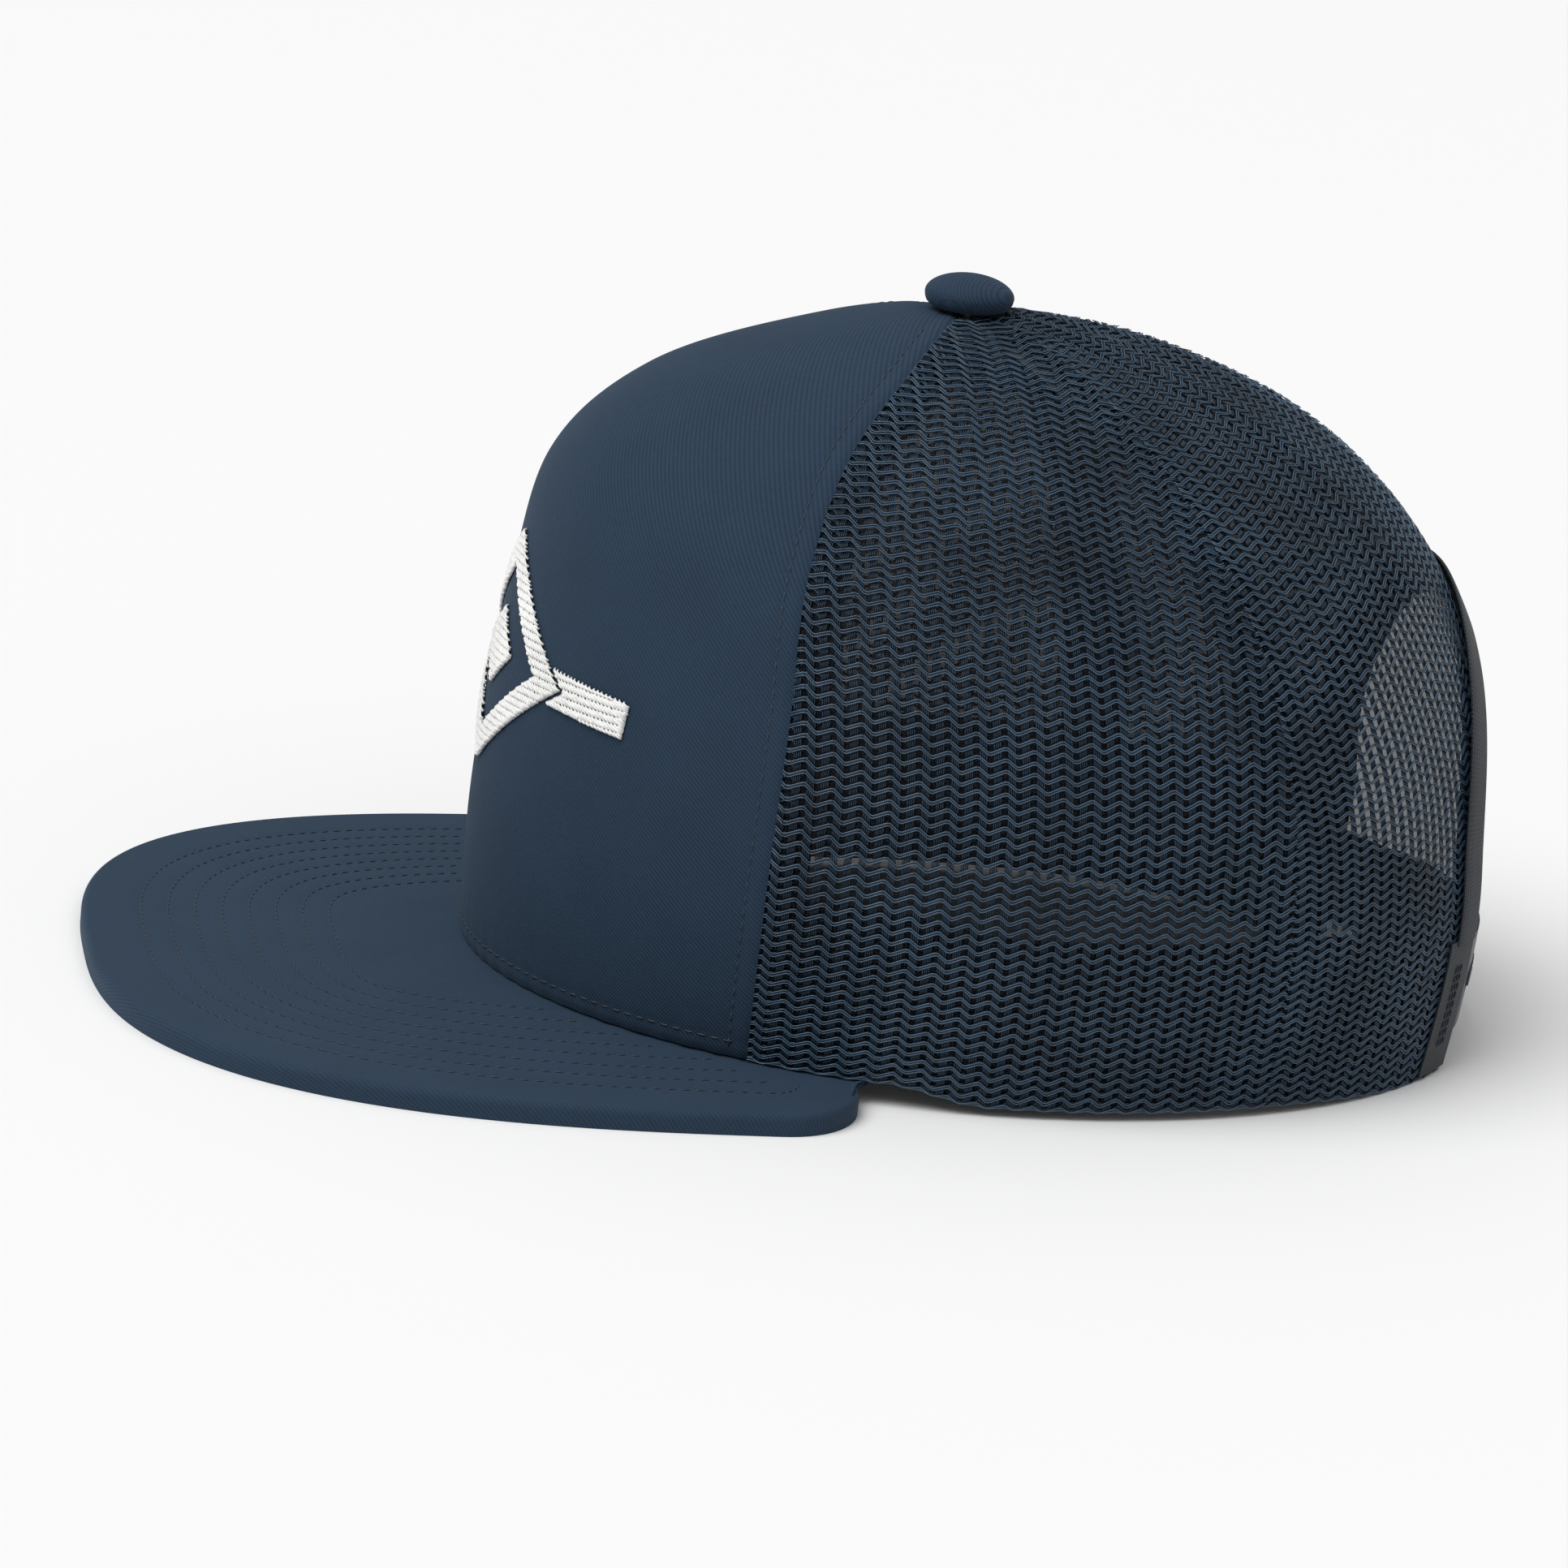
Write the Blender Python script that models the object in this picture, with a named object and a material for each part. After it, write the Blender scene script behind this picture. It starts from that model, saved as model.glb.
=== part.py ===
"""A five-panel trucker cap: twill front, four net panels, flat visor, covered button and a snap strap.

The crown is one smooth surface, read at an angle round the head and a share of the way from the base
to the button. Every cloth piece is a sheet at its own depth under that surface, given a thickness.
The wearer looks along -Y and their left is +X.
"""

import math

import bmesh
import bpy
import numpy as np
from mathutils import Matrix, Vector

MM = 0.001
GAP = 0.3 * MM  # clearance between pieces that touch

# Crown, measured on the outer cloth surface
CROWN_FRONT = 103.5 * MM  # from the crown's middle to the brow
CROWN_BACK = 102 * MM
CROWN_HALF_WIDTH = 76.5 * MM
CROWN_HEIGHT = 138.5 * MM
BUTTON_LEAN = 17 * MM  # how far the button sits in front of the crown's middle
SHOULDER_HEIGHT = 120.5 * MM  # where the front panel has turned from wall to top
SHOULDER_SETBACK = 25.5 * MM

# Where the panels meet, as angles round the head from the brow
FRONT_SEAM_ANGLE = math.radians(55.5)
SIDE_SEAM_ANGLE = math.radians(114)
BACK_ANGLE = math.pi

# Cloth
TWILL_THICKNESS = 0.8 * MM
NET_THICKNESS = 1.2 * MM
STIFFENER_THICKNESS = 0.7 * MM
TAPE_THICKNESS = 0.6 * MM
TAPE_WIDTH = 14 * MM
SWEATBAND_THICKNESS = 2 * MM
SWEATBAND_HEIGHT = 33 * MM
LABEL_THICKNESS = 0.5 * MM
TOP_HOLE_RADIUS = 3 * MM  # left open at the button for its prong
HEM_SHARE = 0.004  # where the bands inside start above the crown's lower edge
TAPE_END = 0.9  # share at which the seam tapes stop short of the button

# Visor
VISOR_REACH = 73.5 * MM
VISOR_HALF_WIDTH = 89 * MM
VISOR_CORNER_Y = -56 * MM
VISOR_CORNER_RADIUS = 17 * MM
VISOR_SQUARENESS = 2.7
VISOR_END_INSET = math.radians(2)  # how far the board and under cover stop short of the visor's end
VISOR_END_ANGLE = math.radians(70)
VISOR_ARCH = 1.6 * MM  # rise at the crown
VISOR_FLAT_SHARE = 0.79  # the rest of the way out to the edge is flat
BOARD_THICKNESS = 2.2 * MM
COVER_THICKNESS = 0.7 * MM
VISOR_THICKNESS = BOARD_THICKNESS + 2 * COVER_THICKNESS + 2 * GAP

# Button
BUTTON_RADIUS = 8.7 * MM
BUTTON_HEIGHT = 6.5 * MM
BUTTON_DISH = 2 * MM  # how far the button pulls the crown's middle in
BUTTON_DISH_RADIUS = 16 * MM
BUTTON_SINK = 0.9 * MM  # how far the button's rim lies below the crown's height
BUTTON_SHELL_THICKNESS = 0.6 * MM
PRONG_RADIUS = 1.4 * MM
TACK_RADIUS = 6.5 * MM
TACK_THICKNESS = 0.8 * MM
BUTTON_SEAT_DROP = NET_THICKNESS + 1.6 * MM  # from the button's seat to the tack's disc

# Opening at the back
ARCH_HALF_WIDTH = 40 * MM
ARCH_TOP = 88 * MM
ARCH_STRAIGHT = 44 * MM  # height up to which its sides run straight
BINDING_WIDTH = 8 * MM
BINDING_CLEARANCE = 0.5 * MM

# Snap strap
STRAP_BOTTOM = 5 * MM
STRAP_TOP = 25 * MM
STRAP_THICKNESS = 1.2 * MM
STRAP_TAIL = 16 * MM  # sewn between net and sweatband
STRAP_HINGE_GAP = 1.0 * MM
SNAP_COUNT = 7
SNAP_PITCH = 9 * MM
SNAP_RADIUS = 2.3 * MM
SNAP_CLEARANCE = 0.5 * MM
STRAP_END_MARGIN = 6.5 * MM

# Embroidered emblem
EMBLEM_HEIGHT = 66 * MM  # of its middle over the base
EMBLEM_THICKNESS = 0.9 * MM
DIAMOND_HALF_WIDTH = 30 * MM
DIAMOND_HALF_HEIGHT = 23 * MM
DIAMOND_STROKE = 8.5 * MM
EMBLEM_HALF_SPAN = 47 * MM
EMBLEM_BAR_HALF_HEIGHT = 3.5 * MM
EMBLEM_BAR_GAP = 1.5 * MM
EMBLEM_CENTRE_HALF_WIDTH = 10 * MM

# Depths of the layers under the crown's surface
NET_LINING_DEPTH = NET_THICKNESS + GAP
STIFFENER_DEPTH = TWILL_THICKNESS + GAP
INNER_TAPE_DEPTH = STIFFENER_DEPTH + STIFFENER_THICKNESS + GAP
SWEATBAND_DEPTH = INNER_TAPE_DEPTH + TAPE_THICKNESS + GAP
LABEL_DEPTH = SWEATBAND_DEPTH + SWEATBAND_THICKNESS + GAP
PEG_STRAP_DEPTH = NET_LINING_DEPTH + STRAP_THICKNESS + GAP
VISOR_ROOT_DEPTH = SWEATBAND_DEPTH - GAP

NAVY = (0.021, 0.045, 0.078, 1.0)
NET_NAVY = (0.012, 0.026, 0.045, 1.0)
PLASTIC_NAVY = (0.016, 0.030, 0.050, 1.0)
BOARD_WHITE = (0.62, 0.62, 0.60, 1.0)
STEEL = (0.55, 0.55, 0.56, 1.0)
THREAD_WHITE = (0.80, 0.80, 0.80, 1.0)
LABEL_WHITE = (0.75, 0.75, 0.73, 1.0)

KNOTS = np.array([0, 0.2, 0.4, 0.52, 0.66, 0.82, 1.0])
ROWS = np.concatenate([np.linspace(0, 0.4, 10), np.linspace(0.44, 0.78, 10), np.linspace(0.83, 0.94, 3)])


def clear_scene():
    for old in list(bpy.data.objects):
        bpy.data.objects.remove(old, do_unlink=True)


def material(name, colour, roughness, metallic=0.0):
    made = bpy.data.materials.new(name)
    made.use_nodes = True
    shader = made.node_tree.nodes["Principled BSDF"]
    shader.inputs["Base Color"].default_value = colour
    shader.inputs["Roughness"].default_value = roughness
    shader.inputs["Metallic"].default_value = metallic
    return made


# The crown's surface


def outline_of(*pairs):
    """Knots of one profile of the crown: its reach from the middle and its height."""
    return np.array(pairs)


FRONT_PROFILE = outline_of(
    (CROWN_FRONT, VISOR_THICKNESS + VISOR_ARCH + GAP),
    (CROWN_FRONT + 0.1 * MM, 0.287 * CROWN_HEIGHT),
    (CROWN_FRONT - 3.7 * MM, 0.559 * CROWN_HEIGHT),
    (CROWN_FRONT - 8.5 * MM, SHOULDER_HEIGHT - 18.5 * MM),
    (CROWN_FRONT - SHOULDER_SETBACK, SHOULDER_HEIGHT),
    (BUTTON_LEAN + 0.335 * (CROWN_FRONT - BUTTON_LEAN), CROWN_HEIGHT - 5.5 * MM),
    (BUTTON_LEAN, CROWN_HEIGHT),
)
SIDE_PROFILE = outline_of(
    (CROWN_HALF_WIDTH, 1.8 * MM),
    (CROWN_HALF_WIDTH + 3 * MM, 0.272 * CROWN_HEIGHT),
    (CROWN_HALF_WIDTH + 0.5 * MM, 0.502 * CROWN_HEIGHT),
    (0.915 * CROWN_HALF_WIDTH, 0.652 * CROWN_HEIGHT),
    (0.706 * CROWN_HALF_WIDTH, 0.810 * CROWN_HEIGHT),
    (0.392 * CROWN_HALF_WIDTH, 0.943 * CROWN_HEIGHT),
    (0, CROWN_HEIGHT),
)
BACK_PROFILE = outline_of(
    (CROWN_BACK, 0),
    (CROWN_BACK + 1 * MM, 0.287 * CROWN_HEIGHT),
    (CROWN_BACK - 9 * MM, 0.573 * CROWN_HEIGHT),
    (CROWN_BACK - 22.5 * MM, 0.731 * CROWN_HEIGHT),
    (0.539 * CROWN_BACK, 0.878 * CROWN_HEIGHT),
    (0.196 * CROWN_BACK, 0.975 * CROWN_HEIGHT),
    (-BUTTON_LEAN, CROWN_HEIGHT),
)
MIDDLE_PROFILE = outline_of(*[(share * BUTTON_LEAN, 0) for share in (0, -0.06, -0.18, -0.35, -0.59, -0.82, -1)])


def through(profile, t):
    """The profile's smooth curve through its knots, at share t of the way up."""
    step = np.diff(KNOTS)[:, None]
    rise = np.diff(profile, axis=0) / step
    slope = np.empty_like(profile)
    slope[1:-1] = (rise[:-1] * step[1:] + rise[1:] * step[:-1]) / (step[1:] + step[:-1])
    slope[0] = 1.5 * rise[0] - 0.5 * slope[1]
    slope[-1] = 1.5 * rise[-1] - 0.5 * slope[-2]
    i = np.clip(np.searchsorted(KNOTS, t, side="right") - 1, 0, len(KNOTS) - 2)
    width = KNOTS[i + 1] - KNOTS[i]
    s = (t - KNOTS[i]) / width
    start = (1 + 2 * s) * (1 - s) ** 2 * profile[i] + s * (1 - s) ** 2 * width * slope[i]
    end = s * s * (3 - 2 * s) * profile[i + 1] + s * s * (s - 1) * width * slope[i + 1]
    return start + end


def smooth_step(low, high, value):
    s = min(max((value - low) / (high - low), 0.0), 1.0)
    return s * s * (3 - 2 * s)


def base_height(angle):
    """Height of the crown's lower edge: on the visor in front, then down to the floor behind."""
    turned = abs((angle + math.pi) % (2 * math.pi) - math.pi)
    on_visor = VISOR_THICKNESS + GAP + VISOR_ARCH * max(math.cos(turned), 0.0) ** 2
    behind = SIDE_PROFILE[0][1] * (1 - smooth_step(math.radians(112), math.radians(143), turned))
    off = smooth_step(VISOR_END_ANGLE + math.radians(1), VISOR_END_ANGLE + math.radians(12), turned)
    return on_visor + (behind - on_visor) * off


def crown_point(angle, t):
    """A point of the crown's outer surface."""
    front, side, back = (through(p, t) for p in (FRONT_PROFILE, SIDE_PROFILE, BACK_PROFILE))
    middle = through(MIDDLE_PROFILE, t)[0]
    forward = math.cos(angle)
    if forward > 0:
        y = middle - (front[0] + middle) * forward
        z = side[1] + (front[1] - side[1]) * forward**2
        z0 = SIDE_PROFILE[0][1] + (FRONT_PROFILE[0][1] - SIDE_PROFILE[0][1]) * forward**2
    else:
        y = middle - (back[0] - middle) * forward
        z = side[1] + (back[1] - side[1]) * forward**2
        z0 = SIDE_PROFILE[0][1] + (BACK_PROFILE[0][1] - SIDE_PROFILE[0][1]) * forward**2
    settle = max(0.0, 1 - t / 0.2) ** 2
    x = side[0] * math.sin(angle)
    dish = BUTTON_DISH * max(0.0, 1 - math.hypot(x, y + BUTTON_LEAN) / BUTTON_DISH_RADIUS) ** 2
    return Vector((x, y, z + (base_height(angle) - z0) * settle - dish))


def slopes(angle, t):
    """The surface's two tangents, per radian and per unit of t."""
    da, dt = 1e-4, 1e-4
    low = max(t - dt, 0.0)
    across = (crown_point(angle + da, t) - crown_point(angle - da, t)) / (2 * da)
    up = (crown_point(angle, t + dt) - crown_point(angle, low)) / (t + dt - low)
    return across, up


def under(angle, t, depth):
    """A point this deep under the crown's surface."""
    across, up = slopes(angle, t)
    return crown_point(angle, t) - across.cross(up).normalized() * depth


def moved(angle, t, aside, above):
    """The angle and share of a place this far aside and above along the cloth."""
    across, up = slopes(angle, t)
    return angle + aside / across.length, t + above / up.length


def share_at_height(angle, height):
    """The share t at which the crown reaches this height."""
    low, high = 0.0, 1.0
    for _ in range(30):
        middle = (low + high) / 2
        if crown_point(angle, middle).z < height:
            low = middle
        else:
            high = middle
    return low


def angle_at_x(x, t):
    """The angle at the back of the head whose place is this far to the wearer's left."""
    return math.pi - math.asin(x / through(SIDE_PROFILE, t)[0])


# Objects


def new_object(name, mesh, finish):
    made = bpy.data.objects.new(name, mesh)
    mesh.materials.append(finish)
    bpy.context.scene.collection.objects.link(made)
    return made


def sheet(name, rows, thickness, finish, out_from=Vector((0, -0.017, 0.05))):
    """A sheet through rows of points, its outer side away from a place, thickened inward."""
    shape = bmesh.new()
    grid = [[shape.verts.new(point) for point in row] for row in rows]
    for lower, upper in zip(grid, grid[1:]):
        for i in range(len(lower) - 1):
            shape.faces.new((lower[i], lower[i + 1], upper[i + 1], upper[i]))
    shape.normal_update()
    facing = sum((face.calc_center_median() - out_from).dot(face.normal) for face in shape.faces)
    if facing < 0:
        bmesh.ops.reverse_faces(shape, faces=shape.faces)
    mesh = bpy.data.meshes.new(name)
    shape.to_mesh(mesh)
    shape.free()
    mesh.shade_smooth()
    made = new_object(name, mesh, finish)
    solid = made.modifiers.new("Thickness", "SOLIDIFY")
    solid.thickness = thickness
    solid.offset = -1
    return made


def cloth(name, places, depth, thickness, finish):
    """A piece of cloth under the crown's surface, from rows of angle and share."""
    return sheet(name, [[under(a, t, depth) for a, t in row] for row in places], thickness, finish)


def turned(name, profile, finish, centre, steps=24):
    """A solid of revolution about a vertical axis, from the closed outline of its section."""
    shape = bmesh.new()
    ring = [shape.verts.new((r, 0, z)) for r, z in profile]
    edges = [shape.edges.new((a, b)) for a, b in zip(ring, ring[1:] + ring[:1])]
    on_axis = [e for e in edges if all(v.co.x < 1e-7 for v in e.verts)]
    bmesh.ops.delete(shape, geom=on_axis, context="EDGES")
    bmesh.ops.spin(
        shape,
        geom=shape.verts[:] + shape.edges[:],
        axis=(0, 0, 1),
        cent=(0, 0, 0),
        steps=steps,
        angle=2 * math.pi,
        use_merge=True,
    )
    bmesh.ops.remove_doubles(shape, verts=shape.verts, dist=1e-6)
    bmesh.ops.recalc_face_normals(shape, faces=shape.faces)
    mesh = bpy.data.meshes.new(name)
    shape.to_mesh(mesh)
    shape.free()
    mesh.shade_smooth()
    mesh.set_sharp_from_angle(angle=math.radians(40))
    made = new_object(name, mesh, finish)
    made.location = centre
    return made


def combine(made, other, operation):
    """Joins or cuts with another object, which is then left as a hidden helper."""
    step = made.modifiers.new(operation.title(), "BOOLEAN")
    step.operation = operation
    step.object = other
    other.hide_render = True
    other.display_type = "WIRE"


# Panels


def top_share(angle):
    """The share at which a panel stops for the button's prong."""
    low, high = 0.8, 1.0
    for _ in range(30):
        middle = (low + high) / 2
        flat = crown_point(angle, middle).xy - Vector((0, -BUTTON_LEAN))
        if flat.length > TOP_HOLE_RADIUS:
            low = middle
        else:
            high = middle
    return low


def panel_rows(first, last, columns):
    """Places over a panel between two seams, from the base to the button."""
    rows = []
    for t in list(ROWS) + [None]:
        row = []
        for i in range(columns + 1):
            angle = first + (last - first) * i / columns
            share = top_share(angle) if t is None else t
            inset = GAP / 2 * (1 if i == 0 else -1 if i == columns else 0)
            row.append((moved(angle, share, inset, 0)[0], share))
        rows.append(row)
    return rows


def front_panel(finish):
    rows = panel_rows(-FRONT_SEAM_ANGLE, FRONT_SEAM_ANGLE, 16)
    return cloth("front_panel", rows, 0, TWILL_THICKNESS, finish)


def front_stiffener(finish):
    inset = math.radians(0.5)
    rows = panel_rows(-FRONT_SEAM_ANGLE + inset, FRONT_SEAM_ANGLE - inset, 16)
    kept = [[(a, max(t, 0.01)) for a, t in row] for row in rows[:-3]]
    return cloth("front_stiffener", kept, STIFFENER_DEPTH, STIFFENER_THICKNESS, finish)


def side_net(name, side, finish):
    seams = sorted((side * FRONT_SEAM_ANGLE, side * SIDE_SEAM_ANGLE))
    return cloth(name, panel_rows(*seams, 8), 0, NET_THICKNESS, finish)


def arch_half_width(height):
    """Half the opening's width at a height, up to its round top."""
    if height <= ARCH_STRAIGHT:
        return ARCH_HALF_WIDTH
    rise = (height - ARCH_STRAIGHT) / (ARCH_TOP - ARCH_STRAIGHT)
    return ARCH_HALF_WIDTH * math.sqrt(max(0.0, 1 - rise**2))


def back_rows(side, columns=10):
    """Places over a back panel: up to the arch, and over it to the centre seam."""
    crest = share_at_height(BACK_ANGLE, ARCH_TOP)
    near_crest = [crest * s for s in (0.93, 0.965, 0.985, 0.996, 1.004)]
    shares = sorted(list(ROWS) + near_crest)
    rows = []
    for t in shares + [None]:
        row = []
        for i in range(columns + 1):
            share = top_share(BACK_ANGLE - side * (BACK_ANGLE - SIDE_SEAM_ANGLE) / 2) if t is None else t
            height = crown_point(BACK_ANGLE, share).z
            half = arch_half_width(height) if share < crest else 0.0
            edge = angle_at_x(half, share) if half else BACK_ANGLE
            angle = SIDE_SEAM_ANGLE + (edge - SIDE_SEAM_ANGLE) * i / columns
            inset = GAP / 2 * (1 if i == 0 else -1 if i == columns else 0)
            row.append((side * moved(angle, share, inset, 0)[0], share))
        rows.append(row)
    return rows


def back_net(name, side, finish):
    return cloth(name, back_rows(side), 0, NET_THICKNESS, finish)


# Bands and tapes inside the crown


def tape_rows(angle, first, last, columns=2):
    rows = []
    for t in [first] + [r for r in ROWS if first + 0.01 < r < last - 0.01] + [last]:
        spread = [(i / columns - 0.5) * TAPE_WIDTH for i in range(columns + 1)]
        rows.append([(moved(angle, t, aside, 0)[0], t) for aside in spread])
    return rows


def seam_tape(name, angle, first, depth, finish):
    return cloth(name, tape_rows(angle, first, TAPE_END), depth, TAPE_THICKNESS, finish)


def sweatband_end():
    return angle_at_x(ARCH_HALF_WIDTH + 4 * MM, 0.1)


def sweatband(finish):
    steps = 50
    rows = []
    for k in range(4):
        row = []
        for i in range(steps + 1):
            angle = sweatband_end() * (2 * i / steps - 1)
            bottom = crown_point(angle, 0.0).z
            top = share_at_height(angle, bottom + SWEATBAND_HEIGHT)
            row.append((angle, HEM_SHARE + (top - HEM_SHARE) * k / 3))
        rows.append(row)
    return cloth("sweatband", rows, SWEATBAND_DEPTH, SWEATBAND_THICKNESS, finish)


def visor_seam_tape(finish):
    reach = FRONT_SEAM_ANGLE - math.radians(7)
    angles = [reach * (2 * i / 18 - 1) for i in range(19)]
    rows = [[(a, t) for a in angles] for t in (HEM_SHARE, 0.03, 0.06)]
    return cloth("visor_seam_tape", rows, INNER_TAPE_DEPTH, TAPE_THICKNESS, finish)


def label(name, middle, width, bottom, top, finish):
    angles = [moved(middle, 0.1, width * (i / 3 - 0.5), 0)[0] for i in range(4)]
    shares = [share_at_height(middle, bottom + (top - bottom) * k / 3) for k in range(4)]
    rows = [[(a, t) for a in angles] for t in shares]
    return cloth(name, rows, LABEL_DEPTH, LABEL_THICKNESS, finish)


def arch_binding(finish):
    """Tape folded over the opening's edge, inside and outside the net."""
    leaf = TAPE_THICKNESS
    skin = leaf + BINDING_CLEARANCE
    fold = -leaf - 2 * GAP
    outer_leaf = [(BINDING_WIDTH, -skin), (BINDING_WIDTH / 2, -skin), (0, -skin), (fold, -skin / 2)]
    section = outer_leaf + [(aside, NET_THICKNESS - depth) for aside, depth in reversed(outer_leaf)]
    path = []
    start = STRAP_TOP + 3 * MM
    for k in range(3):
        path.append((ARCH_HALF_WIDTH, start + (ARCH_STRAIGHT - start) * k / 3))
    for k in range(29):
        turn = math.pi * k / 28
        lift = (ARCH_TOP - ARCH_STRAIGHT) * math.sin(turn)
        path.append((ARCH_HALF_WIDTH * math.cos(turn), ARCH_STRAIGHT + lift))
    for k in (2, 1, 0):
        path.append((-ARCH_HALF_WIDTH, start + (ARCH_STRAIGHT - start) * k / 3))
    rows = []
    for k, (x, height) in enumerate(path):
        before, after = path[max(k - 1, 0)], path[min(k + 1, len(path) - 1)]
        along = Vector((after[0] - before[0], after[1] - before[1])).normalized()
        share = share_at_height(BACK_ANGLE, height)
        angle = angle_at_x(x, share)
        away = Vector((along.y, -along.x))
        row = []
        for aside, depth in section:
            place = moved(angle, share, -away.x * aside, away.y * aside)
            row.append(under(*place, depth))
        rows.append(row)
    # the fold faces the opening, so the side that faces out of the U is its skin
    middle = Vector((0, CROWN_BACK, (ARCH_TOP + start) / 2))
    made = sheet("arch_binding", rows, leaf, finish, middle)
    made.modifiers["Thickness"].offset = 1
    return made


# Visor


def visor_outline(count):
    """Points of the visor's outer edge, evenly spaced from its right rear corner to its left one."""
    dense = []
    for k in range(241):
        turn = -math.pi / 2 + math.pi * k / 240
        side, ahead = math.sin(turn), math.cos(turn)
        x = VISOR_HALF_WIDTH * math.copysign(abs(side) ** (2 / VISOR_SQUARENESS), side)
        reach = CROWN_FRONT + VISOR_REACH + VISOR_CORNER_Y
        dense.append((x, VISOR_CORNER_Y - reach * abs(ahead) ** (2 / VISOR_SQUARENESS)))
    corner = []
    for k in range(1, 9):
        turn = math.pi / 2 * k / 8
        inset = VISOR_CORNER_RADIUS * (1 - math.cos(turn))
        corner.append((VISOR_HALF_WIDTH - inset, VISOR_CORNER_Y + VISOR_CORNER_RADIUS * math.sin(turn)))
    dense = [(-x, y) for x, y in reversed(corner)] + dense + corner
    points = np.array(dense)
    along = np.concatenate([[0], np.cumsum(np.linalg.norm(np.diff(points, axis=0), axis=1))])
    wanted = np.linspace(0, along[-1], count)
    return np.stack([np.interp(wanted, along, points[:, k]) for k in range(2)], axis=1)


def visor_rows(lift, inset, root_inset=0.0, end_inset=0.0, across=48, steps=5):
    """Rows of points over the visor at a height over its underside, this far in from its edge."""
    outline = visor_outline(across + 1)
    inward = np.gradient(outline, axis=0)
    inward = np.stack([-inward[:, 1], inward[:, 0]], axis=1)
    inward /= np.linalg.norm(inward, axis=1)[:, None]
    edge = outline + inward * inset
    rows = []
    for k in range(steps + 1):
        share = k / steps
        row = []
        for i in range(across + 1):
            angle = (VISOR_END_ANGLE - end_inset) * (2 * i / across - 1)
            root = under(angle, 0.0, VISOR_ROOT_DEPTH - root_inset)
            x = root.x + (edge[i][0] - root.x) * share
            y = root.y + (edge[i][1] - root.y) * share
            arch = VISOR_ARCH * math.cos(angle) ** 2 * max(0.0, 1 - share / VISOR_FLAT_SHARE) ** 1.5
            row.append(Vector((x, y, lift + arch)))
        rows.append(row)
    return rows


def visor_top_cover(finish):
    """The upper cloth, turned down round the board's edge."""
    rows = visor_rows(VISOR_THICKNESS, 1.2 * MM)
    turn_steps = 4
    rim = visor_outline(len(rows[0]))
    crest = rows[-1]
    for k in range(1, turn_steps + 1):
        turn = math.pi / 2 * k / turn_steps
        row = []
        for (x, y), top in zip(rim, crest):
            out = Vector((x - top.x, y - top.y, 0))
            fall = 1.6 * MM * (1 - math.cos(turn))
            row.append(top + out * math.sin(turn) - Vector((0, 0, fall)))
        rows.append(row)
    rows.append([Vector((point.x, point.y, 0)) for point in rows[-1]])
    return sheet("visor_top_cover", rows, COVER_THICKNESS, finish, Vector((0, -0.13, -0.02)))


def visor_board(finish):
    inset = COVER_THICKNESS + GAP + 0.4 * MM
    rows = visor_rows(COVER_THICKNESS + GAP + BOARD_THICKNESS, inset, 1 * MM, VISOR_END_INSET)
    return sheet("visor_board", rows, BOARD_THICKNESS, finish, Vector((0, -0.13, -0.2)))


def visor_under_cover(finish):
    inset = COVER_THICKNESS + 1.5 * GAP
    rows = visor_rows(COVER_THICKNESS, inset, 1 * MM, VISOR_END_INSET)
    return sheet("visor_under_cover", rows, COVER_THICKNESS, finish, Vector((0, -0.13, -0.2)))


# Button


def button_seat():
    return Vector((0, -BUTTON_LEAN, CROWN_HEIGHT - BUTTON_SINK + GAP))


def dome(radius, height, low, steps=6):
    """Points of a flat dome from its widest ring up to its crown."""
    points = []
    for k in range(steps):
        turn = math.pi / 2 * k / steps
        points.append((radius * math.cos(turn), low + (height - low) * math.sin(turn)))
    return points + [(0, height)]


def button_cover(finish):
    cloth_depth = TWILL_THICKNESS
    outer = [(BUTTON_RADIUS - 2.4 * MM, 0), (BUTTON_RADIUS - 0.9 * MM, 0.5 * MM)]
    outer += dome(BUTTON_RADIUS, BUTTON_HEIGHT, 2.4 * MM)
    inner = dome(BUTTON_RADIUS - cloth_depth, BUTTON_HEIGHT - cloth_depth, 2.4 * MM)
    inner = inner[::-1] + [(BUTTON_RADIUS - 2.4 * MM, cloth_depth)]
    return turned("button_cover", outer + inner, finish, button_seat())


def button_shell(finish):
    inset = TWILL_THICKNESS + GAP
    wall = BUTTON_SHELL_THICKNESS
    outer = dome(BUTTON_RADIUS - inset, BUTTON_HEIGHT - inset, 2.4 * MM)
    inner = dome(BUTTON_RADIUS - inset - wall, BUTTON_HEIGHT - inset - wall, 2.4 * MM)
    return turned("button_shell", outer + inner[::-1], finish, button_seat())


def button_tack(finish):
    """Disc under the crown with the prong that holds the button on."""
    low = -BUTTON_SEAT_DROP
    top = BUTTON_HEIGHT - TWILL_THICKNESS - BUTTON_SHELL_THICKNESS - 3 * GAP
    profile = [
        (0, low - TACK_THICKNESS),
        (TACK_RADIUS, low - TACK_THICKNESS),
        (TACK_RADIUS, low),
        (PRONG_RADIUS, low),
        (PRONG_RADIUS, top - PRONG_RADIUS / 2),
        (PRONG_RADIUS / 2, top),
        (0, top),
    ]
    return turned("button_tack", profile, finish, button_seat())


# Snap strap


def strap_share(height):
    return share_at_height(BACK_ANGLE, height)


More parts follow.
